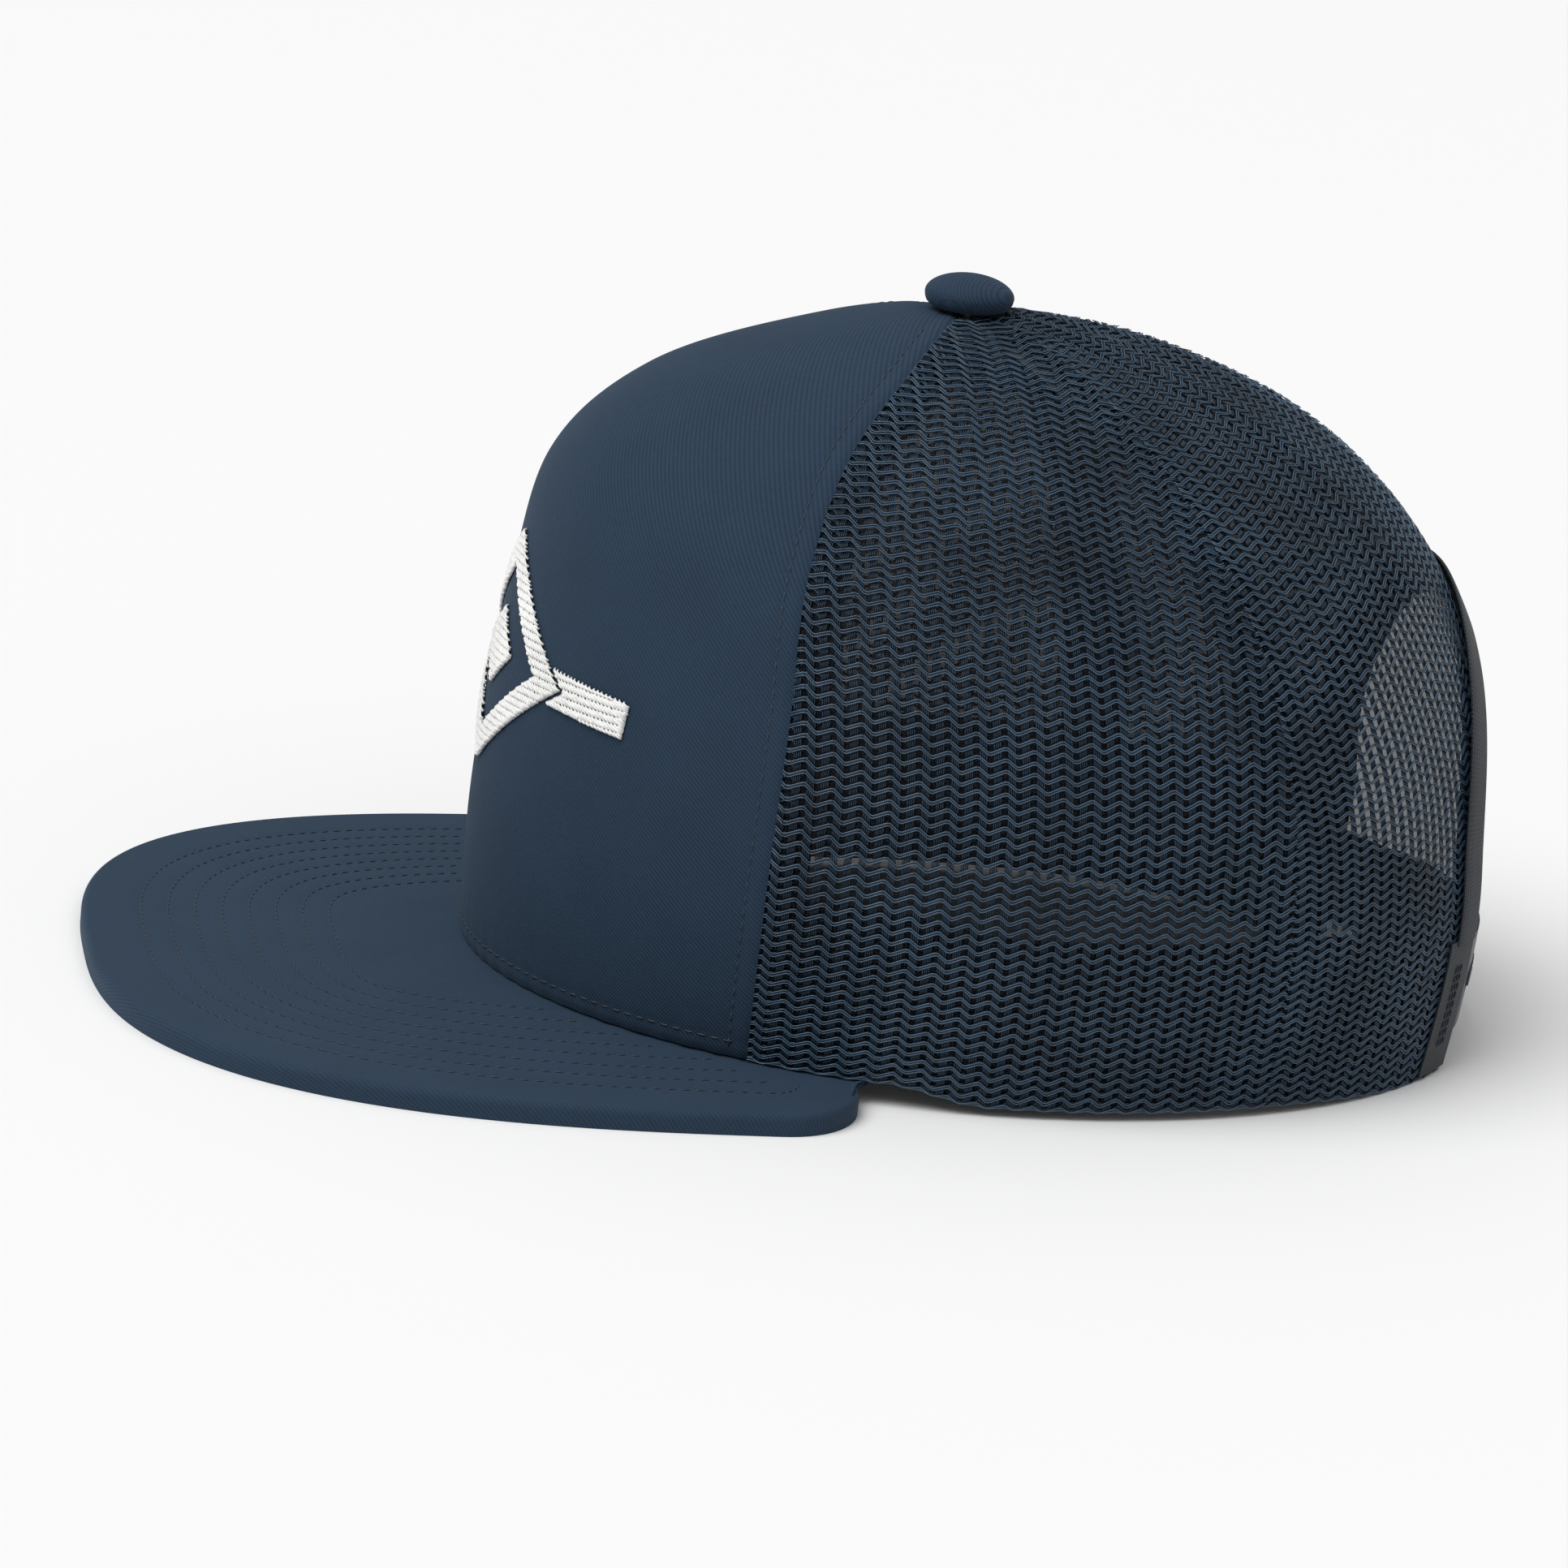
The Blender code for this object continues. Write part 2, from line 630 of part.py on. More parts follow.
def strap_rows(side, start, end, depth_at, round_end):
    """Rows from the strap's lower edge to its upper one, along x from start to end on one side."""
    middle = (STRAP_BOTTOM + STRAP_TOP) / 2
    half = (STRAP_TOP - STRAP_BOTTOM) / 2
    count = max(2, round(abs(end - start) / (3 * MM)))
    stops = [start + (end - start) * i / count for i in range(count + 1)]
    if round_end:
        reach = half * 0.98
        last = [reach * math.sin(math.pi / 2 * k / 6) for k in range(7)]
        stops = [x for x in stops if x > end + reach + 1 * MM] + [end + reach - r for r in last]
    columns = []
    for x in stops:
        beyond = max(0.0, (end + half * 0.98 - x) / half) if round_end else 0.0
        tall = half * math.sqrt(1 - beyond**2)
        column = []
        for k in range(5):
            height = middle + tall * (k / 2 - 1)
            share = strap_share(height)
            angle = angle_at_x(x, share)
            column.append(under(side * angle, share, depth_at(x)))
        columns.append(column)
    return [list(row) for row in zip(*columns)]


def snap_places(depth):
    """Centre and outward direction of each snap along the strap."""
    share = strap_share((STRAP_BOTTOM + STRAP_TOP) / 2)
    for k in range(SNAP_COUNT):
        x = (k - (SNAP_COUNT - 1) / 2) * SNAP_PITCH
        angle = angle_at_x(x, share)
        across, up = slopes(angle, share)
        yield under(angle, share, depth), across.cross(up).normalized()


def snap_bodies(name, radius, inward, outward, depth, finish):
    """Short round studs at the snaps, in one helper object."""
    shape = bmesh.new()
    for centre, out in snap_places(depth):
        low = centre - out * inward
        matrix = out.to_track_quat("Z", "Y").to_matrix().to_4x4()
        matrix.translation = low + out * (inward + outward) / 2
        bmesh.ops.create_cone(
            shape,
            cap_ends=True,
            segments=16,
            radius1=radius,
            radius2=radius,
            depth=inward + outward,
            matrix=matrix,
        )
    mesh = bpy.data.meshes.new(name)
    shape.to_mesh(mesh)
    shape.free()
    return new_object(name, mesh, finish)


def strap_root():
    """How far to the side each strap bends, just inside the opening's edge."""
    return ARCH_HALF_WIDTH - 1 * MM


def strap_reach():
    return (SNAP_COUNT - 1) / 2 * SNAP_PITCH + STRAP_END_MARGIN


def hole_strap(finish):
    rows = strap_rows(1, strap_root(), -strap_reach(), lambda x: NET_LINING_DEPTH, True)
    made = sheet("hole_strap", rows, STRAP_THICKNESS, finish)
    radius = SNAP_RADIUS + SNAP_CLEARANCE
    holes = snap_bodies("snap_hole_cutters", radius, 3 * MM, 3 * MM, NET_LINING_DEPTH, finish)
    combine(made, holes, "DIFFERENCE")
    return made


def peg_depth(x):
    """The peg strap steps inward where the hole strap covers it."""
    shift = smooth_step(-strap_root(), -strap_reach() - 1 * MM, -x)
    return NET_LINING_DEPTH + (PEG_STRAP_DEPTH - NET_LINING_DEPTH) * shift


def peg_strap(finish):
    rows = strap_rows(-1, strap_root(), -strap_reach(), peg_depth, True)
    made = sheet("peg_strap", rows, STRAP_THICKNESS, finish)
    pegs = snap_bodies("snap_peg_studs", SNAP_RADIUS, 0.6 * MM, 1.9 * MM, PEG_STRAP_DEPTH, finish)
    combine(made, pegs, "UNION")
    return made


def strap_tab(name, side, finish):
    """The end of a strap that is sewn between the net and the sweatband."""
    start = strap_root() + STRAP_TAIL
    end = strap_root() + STRAP_HINGE_GAP
    rows = strap_rows(side, start, end, lambda x: NET_LINING_DEPTH, False)
    return sheet(name, rows, STRAP_THICKNESS, finish)


def strap_tack(name, side, finish):
    """A row of tacking stitches over the sewn end of a strap."""
    inner = strap_root() + 4 * MM
    rows = []
    for height in (STRAP_BOTTOM, (STRAP_BOTTOM + STRAP_TOP) / 2, STRAP_TOP):
        share = strap_share(height)
        spread = [angle_at_x(inner + aside, share) for aside in (2.4 * MM, 0)]
        rows.append([under(side * a, share, -GAP - 0.6 * MM) for a in spread])
    return sheet(name, rows, 0.6 * MM, finish)


# Emblem


def on_front(x, height):
    """A place on the front panel, this far aside along the cloth and at this height."""
    share = share_at_height(0.0, height)
    angle = x / slopes(0.0, share)[0].length
    return under(angle, share, -GAP - EMBLEM_THICKNESS)


def raised(name, loops, finish):
    """A raised patch between matching outer and inner outlines on the front panel."""
    return sheet(name, [[on_front(x, z) for x, z in loop] for loop in loops], EMBLEM_THICKNESS, finish)


def diamond(half_width, half_height, steps):
    """Corner-to-corner points round a diamond, closed."""
    corners = [(half_width, 0), (0, half_height), (-half_width, 0), (0, -half_height), (half_width, 0)]
    points = []
    for (x0, z0), (x1, z1) in zip(corners, corners[1:]):
        points += [(x0 + (x1 - x0) * k / steps, z0 + (z1 - z0) * k / steps) for k in range(steps)]
    return points + [corners[0]]


def emblem_frame(finish):
    """A diamond ring."""
    shrink = 1 - DIAMOND_STROKE / DIAMOND_HALF_WIDTH
    outer = diamond(DIAMOND_HALF_WIDTH, DIAMOND_HALF_HEIGHT, 6)
    loops = [[(x * s, EMBLEM_HEIGHT + z * s) for x, z in outer] for s in (1, (1 + shrink) / 2, shrink)]
    made = raised("emblem_frame", loops, finish)
    weld = made.modifiers.new("Close the ring", "WELD")
    weld.merge_threshold = 1e-5
    made.modifiers.move(1, 0)
    return made


def emblem_bar(name, side, finish):
    """A short bar beside the diamond, its inner end cut to the diamond's slant."""
    count = 4
    slant = DIAMOND_HALF_WIDTH / DIAMOND_HALF_HEIGHT
    loops = []
    for share in (-1, 0, 1):
        rise = EMBLEM_BAR_HALF_HEIGHT * share
        start = DIAMOND_HALF_WIDTH + EMBLEM_BAR_GAP - slant * abs(rise)
        xs = [start + (EMBLEM_HALF_SPAN - start) * k / count for k in range(count + 1)]
        loops.append([(side * x, EMBLEM_HEIGHT + rise) for x in xs])
    return raised(name, loops, finish)


def emblem_centre(finish):
    """A small solid diamond inside the ring."""
    half = EMBLEM_CENTRE_HALF_WIDTH
    tall = half * DIAMOND_HALF_HEIGHT / DIAMOND_HALF_WIDTH
    steps = 4
    loops = []
    for i in range(steps + 1):
        row = []
        for k in range(steps + 1):
            u, v = i / steps, k / steps
            row.append((half * (u - v), EMBLEM_HEIGHT + tall * (u + v - 1)))
        loops.append(row)
    return raised("emblem_centre", loops, finish)


# Assembly


def hinge_place(side):
    """The middle of the bend between a strap and its sewn tab."""
    share = strap_share((STRAP_BOTTOM + STRAP_TOP) / 2)
    angle = angle_at_x(strap_root(), share)
    return under(side * angle, share, NET_LINING_DEPTH + STRAP_THICKNESS / 2)


def put_origin(made, place):
    """Moves an object's origin to a place, with its shape where it was."""
    made.data.transform(Matrix.Translation(made.location - place))
    made.location = place


def stand_on_floor(frame):
    """Moves the whole cap so that the middle of its box's underside is at the world's origin."""
    bpy.context.view_layer.update()
    graph = bpy.context.evaluated_depsgraph_get()
    points = []
    for made in bpy.data.objects:
        if made.type == "MESH" and not made.hide_render:
            solid = made.evaluated_get(graph)
            points += [made.matrix_world @ v.co for v in solid.data.vertices]
    points = np.array(points)
    low, high = points.min(axis=0), points.max(axis=0)
    frame.location = (-(low[0] + high[0]) / 2, -(low[1] + high[1]) / 2, -low[2])


def build():
    clear_scene()
    twill = material("Navy cotton twill", NAVY, 0.85)
    net = material("Navy polyester net", NET_NAVY, 0.55)
    buckram = material("Buckram", BOARD_WHITE, 0.9)
    tape = material("Navy seam tape", NAVY, 0.8)
    board = material("Polyethylene board", BOARD_WHITE, 0.5)
    steel = material("Pressed steel", STEEL, 0.35, 1.0)
    plastic = material("Navy snap plastic", PLASTIC_NAVY, 0.45)
    thread = material("White rayon thread", THREAD_WHITE, 0.5)
    satin = material("Label satin", LABEL_WHITE, 0.6)

    front_panel(twill)
    front_stiffener(buckram)
    for side, word in ((1, "left"), (-1, "right")):
        side_net(f"side_net_{word}", side, net)
        back_net(f"back_net_{word}", side, net)
        front_tape = side * FRONT_SEAM_ANGLE
        seam_tape(f"front_seam_tape_{word}", front_tape, HEM_SHARE, INNER_TAPE_DEPTH, tape)
        side_tape = side * SIDE_SEAM_ANGLE
        seam_tape(f"side_seam_tape_{word}", side_tape, HEM_SHARE, NET_LINING_DEPTH, tape)
        strap_tab(f"strap_tab_{word}", side, plastic)
        strap_tack(f"strap_tack_{word}", side, tape)
        emblem_bar(f"emblem_bar_{word}", side, thread)
    above_arch = share_at_height(BACK_ANGLE, ARCH_TOP + BINDING_WIDTH + 2 * MM)
    seam_tape("back_seam_tape", BACK_ANGLE, above_arch, NET_LINING_DEPTH, tape)
    sweatband(twill)
    visor_seam_tape(tape)
    arch_binding(tape)

    visor_top_cover(twill)
    visor_board(board)
    visor_under_cover(twill)

    button_cover(twill)
    button_shell(steel)
    button_tack(steel)

    put_origin(hole_strap(plastic), hinge_place(1))
    put_origin(peg_strap(plastic), hinge_place(-1))

    size_label = math.radians(128)
    label("size_label", size_label, 26 * MM, 8 * MM, 28 * MM, satin)
    label("care_label", -size_label, 30 * MM, 8 * MM, 30 * MM, satin)
    emblem_frame(thread)
    emblem_centre(thread)

    frame = bpy.data.objects.new("cap_frame", None)
    bpy.context.scene.collection.objects.link(frame)
    for made in bpy.data.objects:
        if made is not frame:
            made.parent = frame
    stand_on_floor(frame)


build()
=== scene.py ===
import math

import bmesh
import bpy
import numpy as np
from mathutils import Matrix, Vector
from mathutils.bvhtree import BVHTree


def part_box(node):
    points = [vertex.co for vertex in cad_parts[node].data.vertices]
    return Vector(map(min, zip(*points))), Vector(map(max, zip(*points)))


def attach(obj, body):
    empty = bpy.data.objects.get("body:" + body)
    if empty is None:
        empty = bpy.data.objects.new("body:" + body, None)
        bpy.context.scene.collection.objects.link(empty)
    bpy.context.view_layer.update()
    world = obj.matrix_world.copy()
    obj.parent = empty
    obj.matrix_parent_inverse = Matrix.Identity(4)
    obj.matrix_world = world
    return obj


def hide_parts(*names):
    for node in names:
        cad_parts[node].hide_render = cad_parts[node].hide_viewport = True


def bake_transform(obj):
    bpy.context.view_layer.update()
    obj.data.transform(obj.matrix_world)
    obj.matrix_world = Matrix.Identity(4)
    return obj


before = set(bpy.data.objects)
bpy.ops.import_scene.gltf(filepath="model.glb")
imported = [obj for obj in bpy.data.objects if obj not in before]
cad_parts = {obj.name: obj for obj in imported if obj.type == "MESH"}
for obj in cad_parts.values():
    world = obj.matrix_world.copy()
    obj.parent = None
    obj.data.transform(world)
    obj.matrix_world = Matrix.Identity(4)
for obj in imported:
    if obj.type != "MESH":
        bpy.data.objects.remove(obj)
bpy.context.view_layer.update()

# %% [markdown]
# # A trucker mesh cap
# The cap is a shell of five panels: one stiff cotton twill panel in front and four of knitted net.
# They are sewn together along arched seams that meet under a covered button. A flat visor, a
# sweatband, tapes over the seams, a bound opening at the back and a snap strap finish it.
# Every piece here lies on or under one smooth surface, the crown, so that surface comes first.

MM = 0.001
SEED = 11
rng = np.random.default_rng(SEED)

CROWN_FRONT = 103.5 * MM
CROWN_BACK = 102 * MM
CROWN_HALF_WIDTH = 76.5 * MM
CROWN_HEIGHT = 138.5 * MM
BUTTON_LEAN = 17 * MM
VISOR_THICKNESS = 4.2 * MM
VISOR_ARCH = 1.6 * MM
GAP = 0.3 * MM
FRONT_SEAM = math.radians(55.5)
SIDE_SEAM = math.radians(114)
BACK_SEAM = math.pi

tack_low, tack_high = (Vector(c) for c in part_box("button_tack"))
CROWN_MIDDLE_Y = (tack_low.y + tack_high.y) / 2 + BUTTON_LEAN

# %% [markdown]
# ## The crown's surface
# A cap's crown is a dome, steep in front and round behind. It could be a sculpted sphere, but the
# panels must share their seams exactly, and cloth has to lie at known depths. So the dome is a
# formula: four profiles (front, side, back and middle line) are blended round the head. A place on
# it is an angle from the brow, positive towards the wearer's left, and a share t of the way up.

# %% Profiles
KNOTS = np.array([0, 0.2, 0.4, 0.52, 0.66, 0.82, 1.0])


def outline_of(*pairs):
    """Knots of one profile in mm: reach from the crown's middle and height."""
    return np.array(pairs) * MM


TOP = CROWN_HEIGHT / MM
FRONT_PROFILE = outline_of(
    (103.5, 6.1), (103.6, 0.287 * TOP), (99.8, 0.559 * TOP),
    (95, 102), (78, 120.5), (45.98, TOP - 5.5), (17, TOP),
)
SIDE_PROFILE = outline_of(
    (76.5, 1.8), (79.5, 0.272 * TOP), (77, 0.502 * TOP), (70, 0.652 * TOP),
    (54.01, 0.810 * TOP), (29.99, 0.943 * TOP), (0, TOP),
)
BACK_PROFILE = outline_of(
    (102, 0), (103, 0.287 * TOP), (93, 0.573 * TOP), (79.5, 0.731 * TOP),
    (54.98, 0.878 * TOP), (19.99, 0.975 * TOP), (-17, TOP),
)
MIDDLE_PROFILE = outline_of(*[(17 * lean, 0) for lean in (0, -0.06, -0.18, -0.35, -0.59, -0.82, -1)])
print("crown's middle leans back from 0 to", round(-MIDDLE_PROFILE[-1, 0] / MM), "mm")


def through(profile, t):
    """The profile's smooth curve through its knots, at shares t."""
    step = np.diff(KNOTS)[:, None]
    rise = np.diff(profile, axis=0) / step
    slope = np.empty_like(profile)
    slope[1:-1] = (rise[:-1] * step[1:] + rise[1:] * step[:-1]) / (step[1:] + step[:-1])
    slope[0] = 1.5 * rise[0] - 0.5 * slope[1]
    slope[-1] = 1.5 * rise[-1] - 0.5 * slope[-2]
    i = np.clip(np.searchsorted(KNOTS, t, side="right") - 1, 0, len(KNOTS) - 2)
    width = (KNOTS[i + 1] - KNOTS[i])[..., None]
    s = (t - KNOTS[i])[..., None] / width
    start = (1 + 2 * s) * (1 - s) ** 2 * profile[i] + s * (1 - s) ** 2 * width * slope[i]
    end = s * s * (3 - 2 * s) * profile[i + 1] + s * s * (s - 1) * width * slope[i + 1]
    return start + end


def smooth_step(low, high, value):
    s = np.clip((value - low) / (high - low), 0, 1)
    return s * s * (3 - 2 * s)


# %% The dome
VISOR_END = math.radians(70)
BUTTON_DISH = 2 * MM
BUTTON_DISH_RADIUS = 16 * MM
BEHIND_BEGINS, BEHIND_ENDS = math.radians(112), math.radians(143)
VISOR_RAMP = math.radians(1), math.radians(12)
BASE_BLEND = 0.2


def base_height(angle):
    """Height of the crown's lower edge: on the visor in front, then down to the floor behind."""
    turned = np.abs((angle + math.pi) % (2 * math.pi) - math.pi)
    on_visor = VISOR_THICKNESS + GAP + VISOR_ARCH * np.maximum(np.cos(turned), 0) ** 2
    behind = SIDE_PROFILE[0, 1] * (1 - smooth_step(BEHIND_BEGINS, BEHIND_ENDS, turned))
    off = smooth_step(VISOR_END + VISOR_RAMP[0], VISOR_END + VISOR_RAMP[1], turned)
    return on_visor + (behind - on_visor) * off


def crown(angle, t):
    """Points of the crown's outer surface, for arrays of angles and shares."""
    angle, t = np.broadcast_arrays(np.asarray(angle, float), np.asarray(t, float))
    front, side, back = (through(p, t) for p in (FRONT_PROFILE, SIDE_PROFILE, BACK_PROFILE))
    middle = through(MIDDLE_PROFILE, t)[..., 0]
    ahead = np.cos(angle)
    facing = ahead > 0
    reach = np.where(facing, front[..., 0] + middle, back[..., 0] - middle)
    end = np.where(facing, front[..., 1], back[..., 1])
    end_low = np.where(facing, FRONT_PROFILE[0, 1], BACK_PROFILE[0, 1])
    z = side[..., 1] + (end - side[..., 1]) * ahead**2
    z0 = SIDE_PROFILE[0, 1] + (end_low - SIDE_PROFILE[0, 1]) * ahead**2
    z = z + (base_height(angle) - z0) * np.maximum(0, 1 - t / BASE_BLEND) ** 2
    x, y = side[..., 0] * np.sin(angle), middle - reach * ahead
    dish = BUTTON_DISH * np.maximum(0, 1 - np.hypot(x, y + BUTTON_LEAN) / BUTTON_DISH_RADIUS) ** 2
    return np.stack([x, y + CROWN_MIDDLE_Y, z - dish], axis=-1)


def slopes(angle, t):
    """The surface's two tangents, per radian and per unit of t."""
    d = 1e-4
    low, high = np.maximum(t - d, 0), np.minimum(t + d, 1)
    across = (crown(angle + d, t) - crown(angle - d, t)) / (2 * d)
    up = (crown(angle, high) - crown(angle, low)) / (high - low)[..., None]
    return across, up


def unit(v):
    return v / np.maximum(np.linalg.norm(v, axis=-1, keepdims=True), 1e-12)


def outward(angle, t):
    across, up = slopes(np.asarray(angle, float), np.asarray(t, float))
    return unit(np.cross(across, up))


def under(angle, t, depth):
    """Points this deep under the crown's surface."""
    angle, t, depth = np.broadcast_arrays(*(np.asarray(v, float) for v in (angle, t, depth)))
    return crown(angle, t) - outward(angle, t) * depth[..., None]


def share_at_height(angle, height):
    """The share at which the crown reaches this height above the floor."""
    table = np.linspace(0, 1, 400)
    return np.interp(height, crown(angle, table)[:, 2], table)


def angle_at_x(x, t):
    """The angle at the back of the head whose place is this far to the wearer's left."""
    half_width = through(SIDE_PROFILE, np.asarray(t, float))[..., 0]
    return math.pi - np.arcsin(np.clip(x / half_width, -1, 1))


print("the crown under the button is", round(crown(0.0, 1.0)[2] / MM, 1), "mm above the floor")


# %% [markdown]
# ## Three makers
# Nearly everything here is one of three things: a sheet of cloth, a bundle of threads, or a row of
# stitches. A sheet is a grid of points given a thickness. A thread is a thin tube along a line,
# flattened or round, that knows which way the cloth faces. Stitches are short threads whose ends
# dive into the cloth. Each maker writes one mesh, because thousands of separate objects are slow.

# %% Mesh from arrays


def add_object(name, mesh):
    made = bpy.data.objects.new(name, mesh)
    bpy.context.scene.collection.objects.link(made)
    return made


def mesh_of(name, points, faces, uv=None):
    """An object from an array of points and arrays of faces that each have one corner count."""
    mesh = bpy.data.meshes.new(name)
    points = np.asarray(points, float)
    counts = np.concatenate([np.full(len(f), f.shape[1]) for f in faces if len(f)])
    corners = np.concatenate([f.ravel() for f in faces if len(f)])
    mesh.vertices.add(len(points))
    mesh.vertices.foreach_set("co", points.ravel())
    mesh.loops.add(len(corners))
    mesh.loops.foreach_set("vertex_index", corners.astype(np.int32))
    mesh.polygons.add(len(counts))
    starts = np.concatenate([[0], np.cumsum(counts)[:-1]])
    mesh.polygons.foreach_set("loop_start", starts.astype(np.int32))
    mesh.update(calc_edges=True)
    if uv is not None:
        layer = mesh.uv_layers.new(name="cloth")
        layer.data.foreach_set("uv", np.asarray(uv, float)[corners].ravel())
    mesh.shade_smooth()
    return add_object(name, mesh)


def only(made):
    """Selects one object and nothing else."""
    bpy.ops.object.select_all(action="DESELECT")
    made.select_set(True)
    bpy.context.view_layer.objects.active = made


def apply_all(made):
    only(made)
    for step in list(made.modifiers):
        bpy.ops.object.modifier_apply(modifier=step.name)


# %% Sheets


def cloth_size(grid):
    """Widest row, longest column and area of a grid of points."""
    across = np.linalg.norm(np.diff(grid, axis=1), axis=-1)
    along = np.linalg.norm(np.diff(grid, axis=0), axis=-1)
    d1, d2 = grid[1:, 1:] - grid[:-1, :-1], grid[1:, :-1] - grid[:-1, 1:]
    area = np.linalg.norm(np.cross(d1, d2), axis=-1).sum() / 2
    return across.sum(axis=1).max(), along.sum(axis=0).max(), area


def grid_faces(grid):
    """Four-cornered faces between the neighbours of a grid of points."""
    rows, columns = grid.shape[:2]
    index = np.arange(rows * columns).reshape(rows, columns)
    return np.stack([index[:-1, :-1], index[:-1, 1:], index[1:, 1:], index[1:, :-1]], -1).reshape(-1, 4)


def sheet(name, grid, thickness, away_from=None, closed=False, flat=None):
    """A cloth sheet through a grid of points, its face away from a place, thickened inward.
    Its UV map holds places on the flat cloth in metres: lengths along the grid, unless flat gives them."""
    columns = grid.shape[1]
    quads = grid_faces(grid)
    places = grid.reshape(-1, 3)
    a, b, c, d = (places[quads[:, k]] for k in range(4))
    normals = np.cross(c - a, d - b)
    middle = (a + b + c + d) / 4
    origin = np.array((0, CROWN_MIDDLE_Y - BUTTON_LEAN, 0.05)) if away_from is None else np.array(away_from)
    if ((middle - origin) * normals).sum() < 0:
        quads = quads[:, ::-1]
    wide = np.cumsum(np.linalg.norm(np.diff(grid, axis=1, prepend=grid[:, :1]), axis=-1), axis=1)
    wide -= wide[:, columns // 2][:, None]
    tall = np.cumsum(np.linalg.norm(np.diff(grid, axis=0, prepend=grid[:1]), axis=-1), axis=0)
    tall = np.broadcast_to(tall[:, columns // 2][:, None], wide.shape)
    uv = np.stack([wide, tall], -1) if flat is None else flat
    made = mesh_of(name, places, [quads], uv.reshape(-1, 2))
    if closed:
        only(made)
        bpy.ops.object.mode_set(mode="EDIT")
        bpy.ops.mesh.select_all(action="SELECT")
        bpy.ops.mesh.remove_doubles(threshold=1e-5)
        bpy.ops.object.mode_set(mode="OBJECT")
    wall = made.modifiers.new("Cloth", "SOLIDIFY")
    wall.thickness = thickness
    wall.offset = -1
    apply_all(made)
    bpy.ops.object.shade_smooth_by_angle(angle=math.radians(50))
    return made


# %% Threads
STITCH_LENGTH = 2.0 * MM
STITCH_PITCH = 2.6 * MM
STITCH_RADIUS = 0.17 * MM
STITCH_DIVE = 0.35 * MM
STITCH_PROUD = 0.12 * MM


def tubes(points, facing, wide, deep, sides):
    """Points and faces of closed tubes along many lines of equal length.
    points and facing are (lines, stops, 3); wide and deep are half widths across and into the cloth."""
    lines, stops = points.shape[:2]
    along = unit(np.gradient(points, axis=1))
    aside = unit(np.cross(along, facing))
    lift = np.cross(aside, along)
    turn = 2 * math.pi * (np.arange(sides) + 0.5) / sides
    sideways = aside[:, :, None] * (np.cos(turn) * wide)[:, None]
    ring = points[:, :, None] + (sideways + lift[:, :, None] * (np.sin(turn) * deep)[:, None])
    index = np.arange(lines * stops * sides).reshape(lines, stops, sides)
    nxt = np.roll(index, -1, axis=2)
    walls = np.stack([index[:, :-1], nxt[:, :-1], nxt[:, 1:], index[:, 1:]], -1).reshape(-1, 4)
    caps = np.concatenate([index[:, 0, ::-1], index[:, -1]])
    return ring.reshape(-1, 3), walls, caps


def bundle(name, batches, others=()):
    """One object from batches of tubes. The others' faces take the object's second material."""
    points, faces, finish, base = [], [], [], 0
    for n, batch in enumerate([*batches, *others]):
        made, walls, caps = tubes(*batch)
        points.append(made)
        faces += [walls + base, caps + base]
        finish.append(np.full(len(walls) + len(caps), int(n >= len(batches))))
        base += len(made)
    thing = mesh_of(name, np.concatenate(points), faces)
    thing.data.materials.append(None)
    if others:
        thing.data.materials.append(None)
        thing.data.polygons.foreach_set("material_index", np.concatenate(finish).astype(np.int32))
    return thing


def stitches(
    path, facing, length=STITCH_LENGTH, pitch=STITCH_PITCH, radius=STITCH_RADIUS,
    dive=STITCH_DIVE, proud=STITCH_PROUD,
):
    """A batch of stitches along a line of points on the cloth, or None where the line is too short."""
    steps = np.linalg.norm(np.diff(path, axis=0), axis=1)
    along = np.concatenate([[0], np.cumsum(steps)])
    starts = np.arange(0.5 * pitch, along[-1] - length, pitch)
    if len(starts) == 0:
        return None
    stops = starts[:, None] + length * np.array([0, 0.2, 0.5, 0.8, 1])
    place = np.stack([np.interp(stops, along, path[:, k]) for k in range(3)], -1)
    face = unit(np.stack([np.interp(stops, along, facing[:, k]) for k in range(3)], -1))
    rise = np.array([-dive, proud * 0.7, proud, proud * 0.7, -dive])[None, :, None]
    return place + face * rise, face, radius, radius * 0.85, 6


def crown_line(angle, t, depth):
    """A line on the crown and the way the cloth faces along it, for stitching."""
    return under(angle, t, depth), outward(angle, t)


print("stitches are", STITCH_LENGTH / MM, "mm long, one every", STITCH_PITCH / MM, "mm")


# %% [markdown]
# ## Materials
# A small helper adds a node, sets its values and joins its inputs. Colours are given the way a
# colour picker shows them and turned to linear light. Cloth reads its own UV map, which holds real
# lengths, so a thread spacing can be given in millimetres.

# %% Material helpers


def linear(text, alpha=1.0):
    """An sRGB hex colour as linear RGBA."""
    parts = [int(text[i : i + 2], 16) / 255 for i in (1, 3, 5)]
    return tuple(v / 12.92 if v <= 0.04045 else ((v + 0.055) / 1.055) ** 2.4 for v in parts) + (alpha,)


def add(tree, kind, values=None, links=None, **settings):
    """Adds a node, with its settings, its unlinked values, and links from other nodes' sockets."""
    node = tree.nodes.new(kind)
    for key, value in settings.items():
        setattr(node, key, value)
    for key, value in (values or {}).items():
        node.inputs[key].default_value = value
    for key, source in (links or {}).items():
        tree.links.new(source, node.inputs[key])
    return node


def new_material(name, colour, roughness, **values):
    made = bpy.data.materials.new(name)
    made.use_nodes = True
    shader = made.node_tree.nodes["Principled BSDF"]
    shader.inputs["Base Color"].default_value = linear(colour)
    shader.inputs["Roughness"].default_value = roughness
    for key, value in values.items():
        shader.inputs[key.replace("_", " ").title().replace("Ior", "IOR")].default_value = value
    return made, made.node_tree, shader


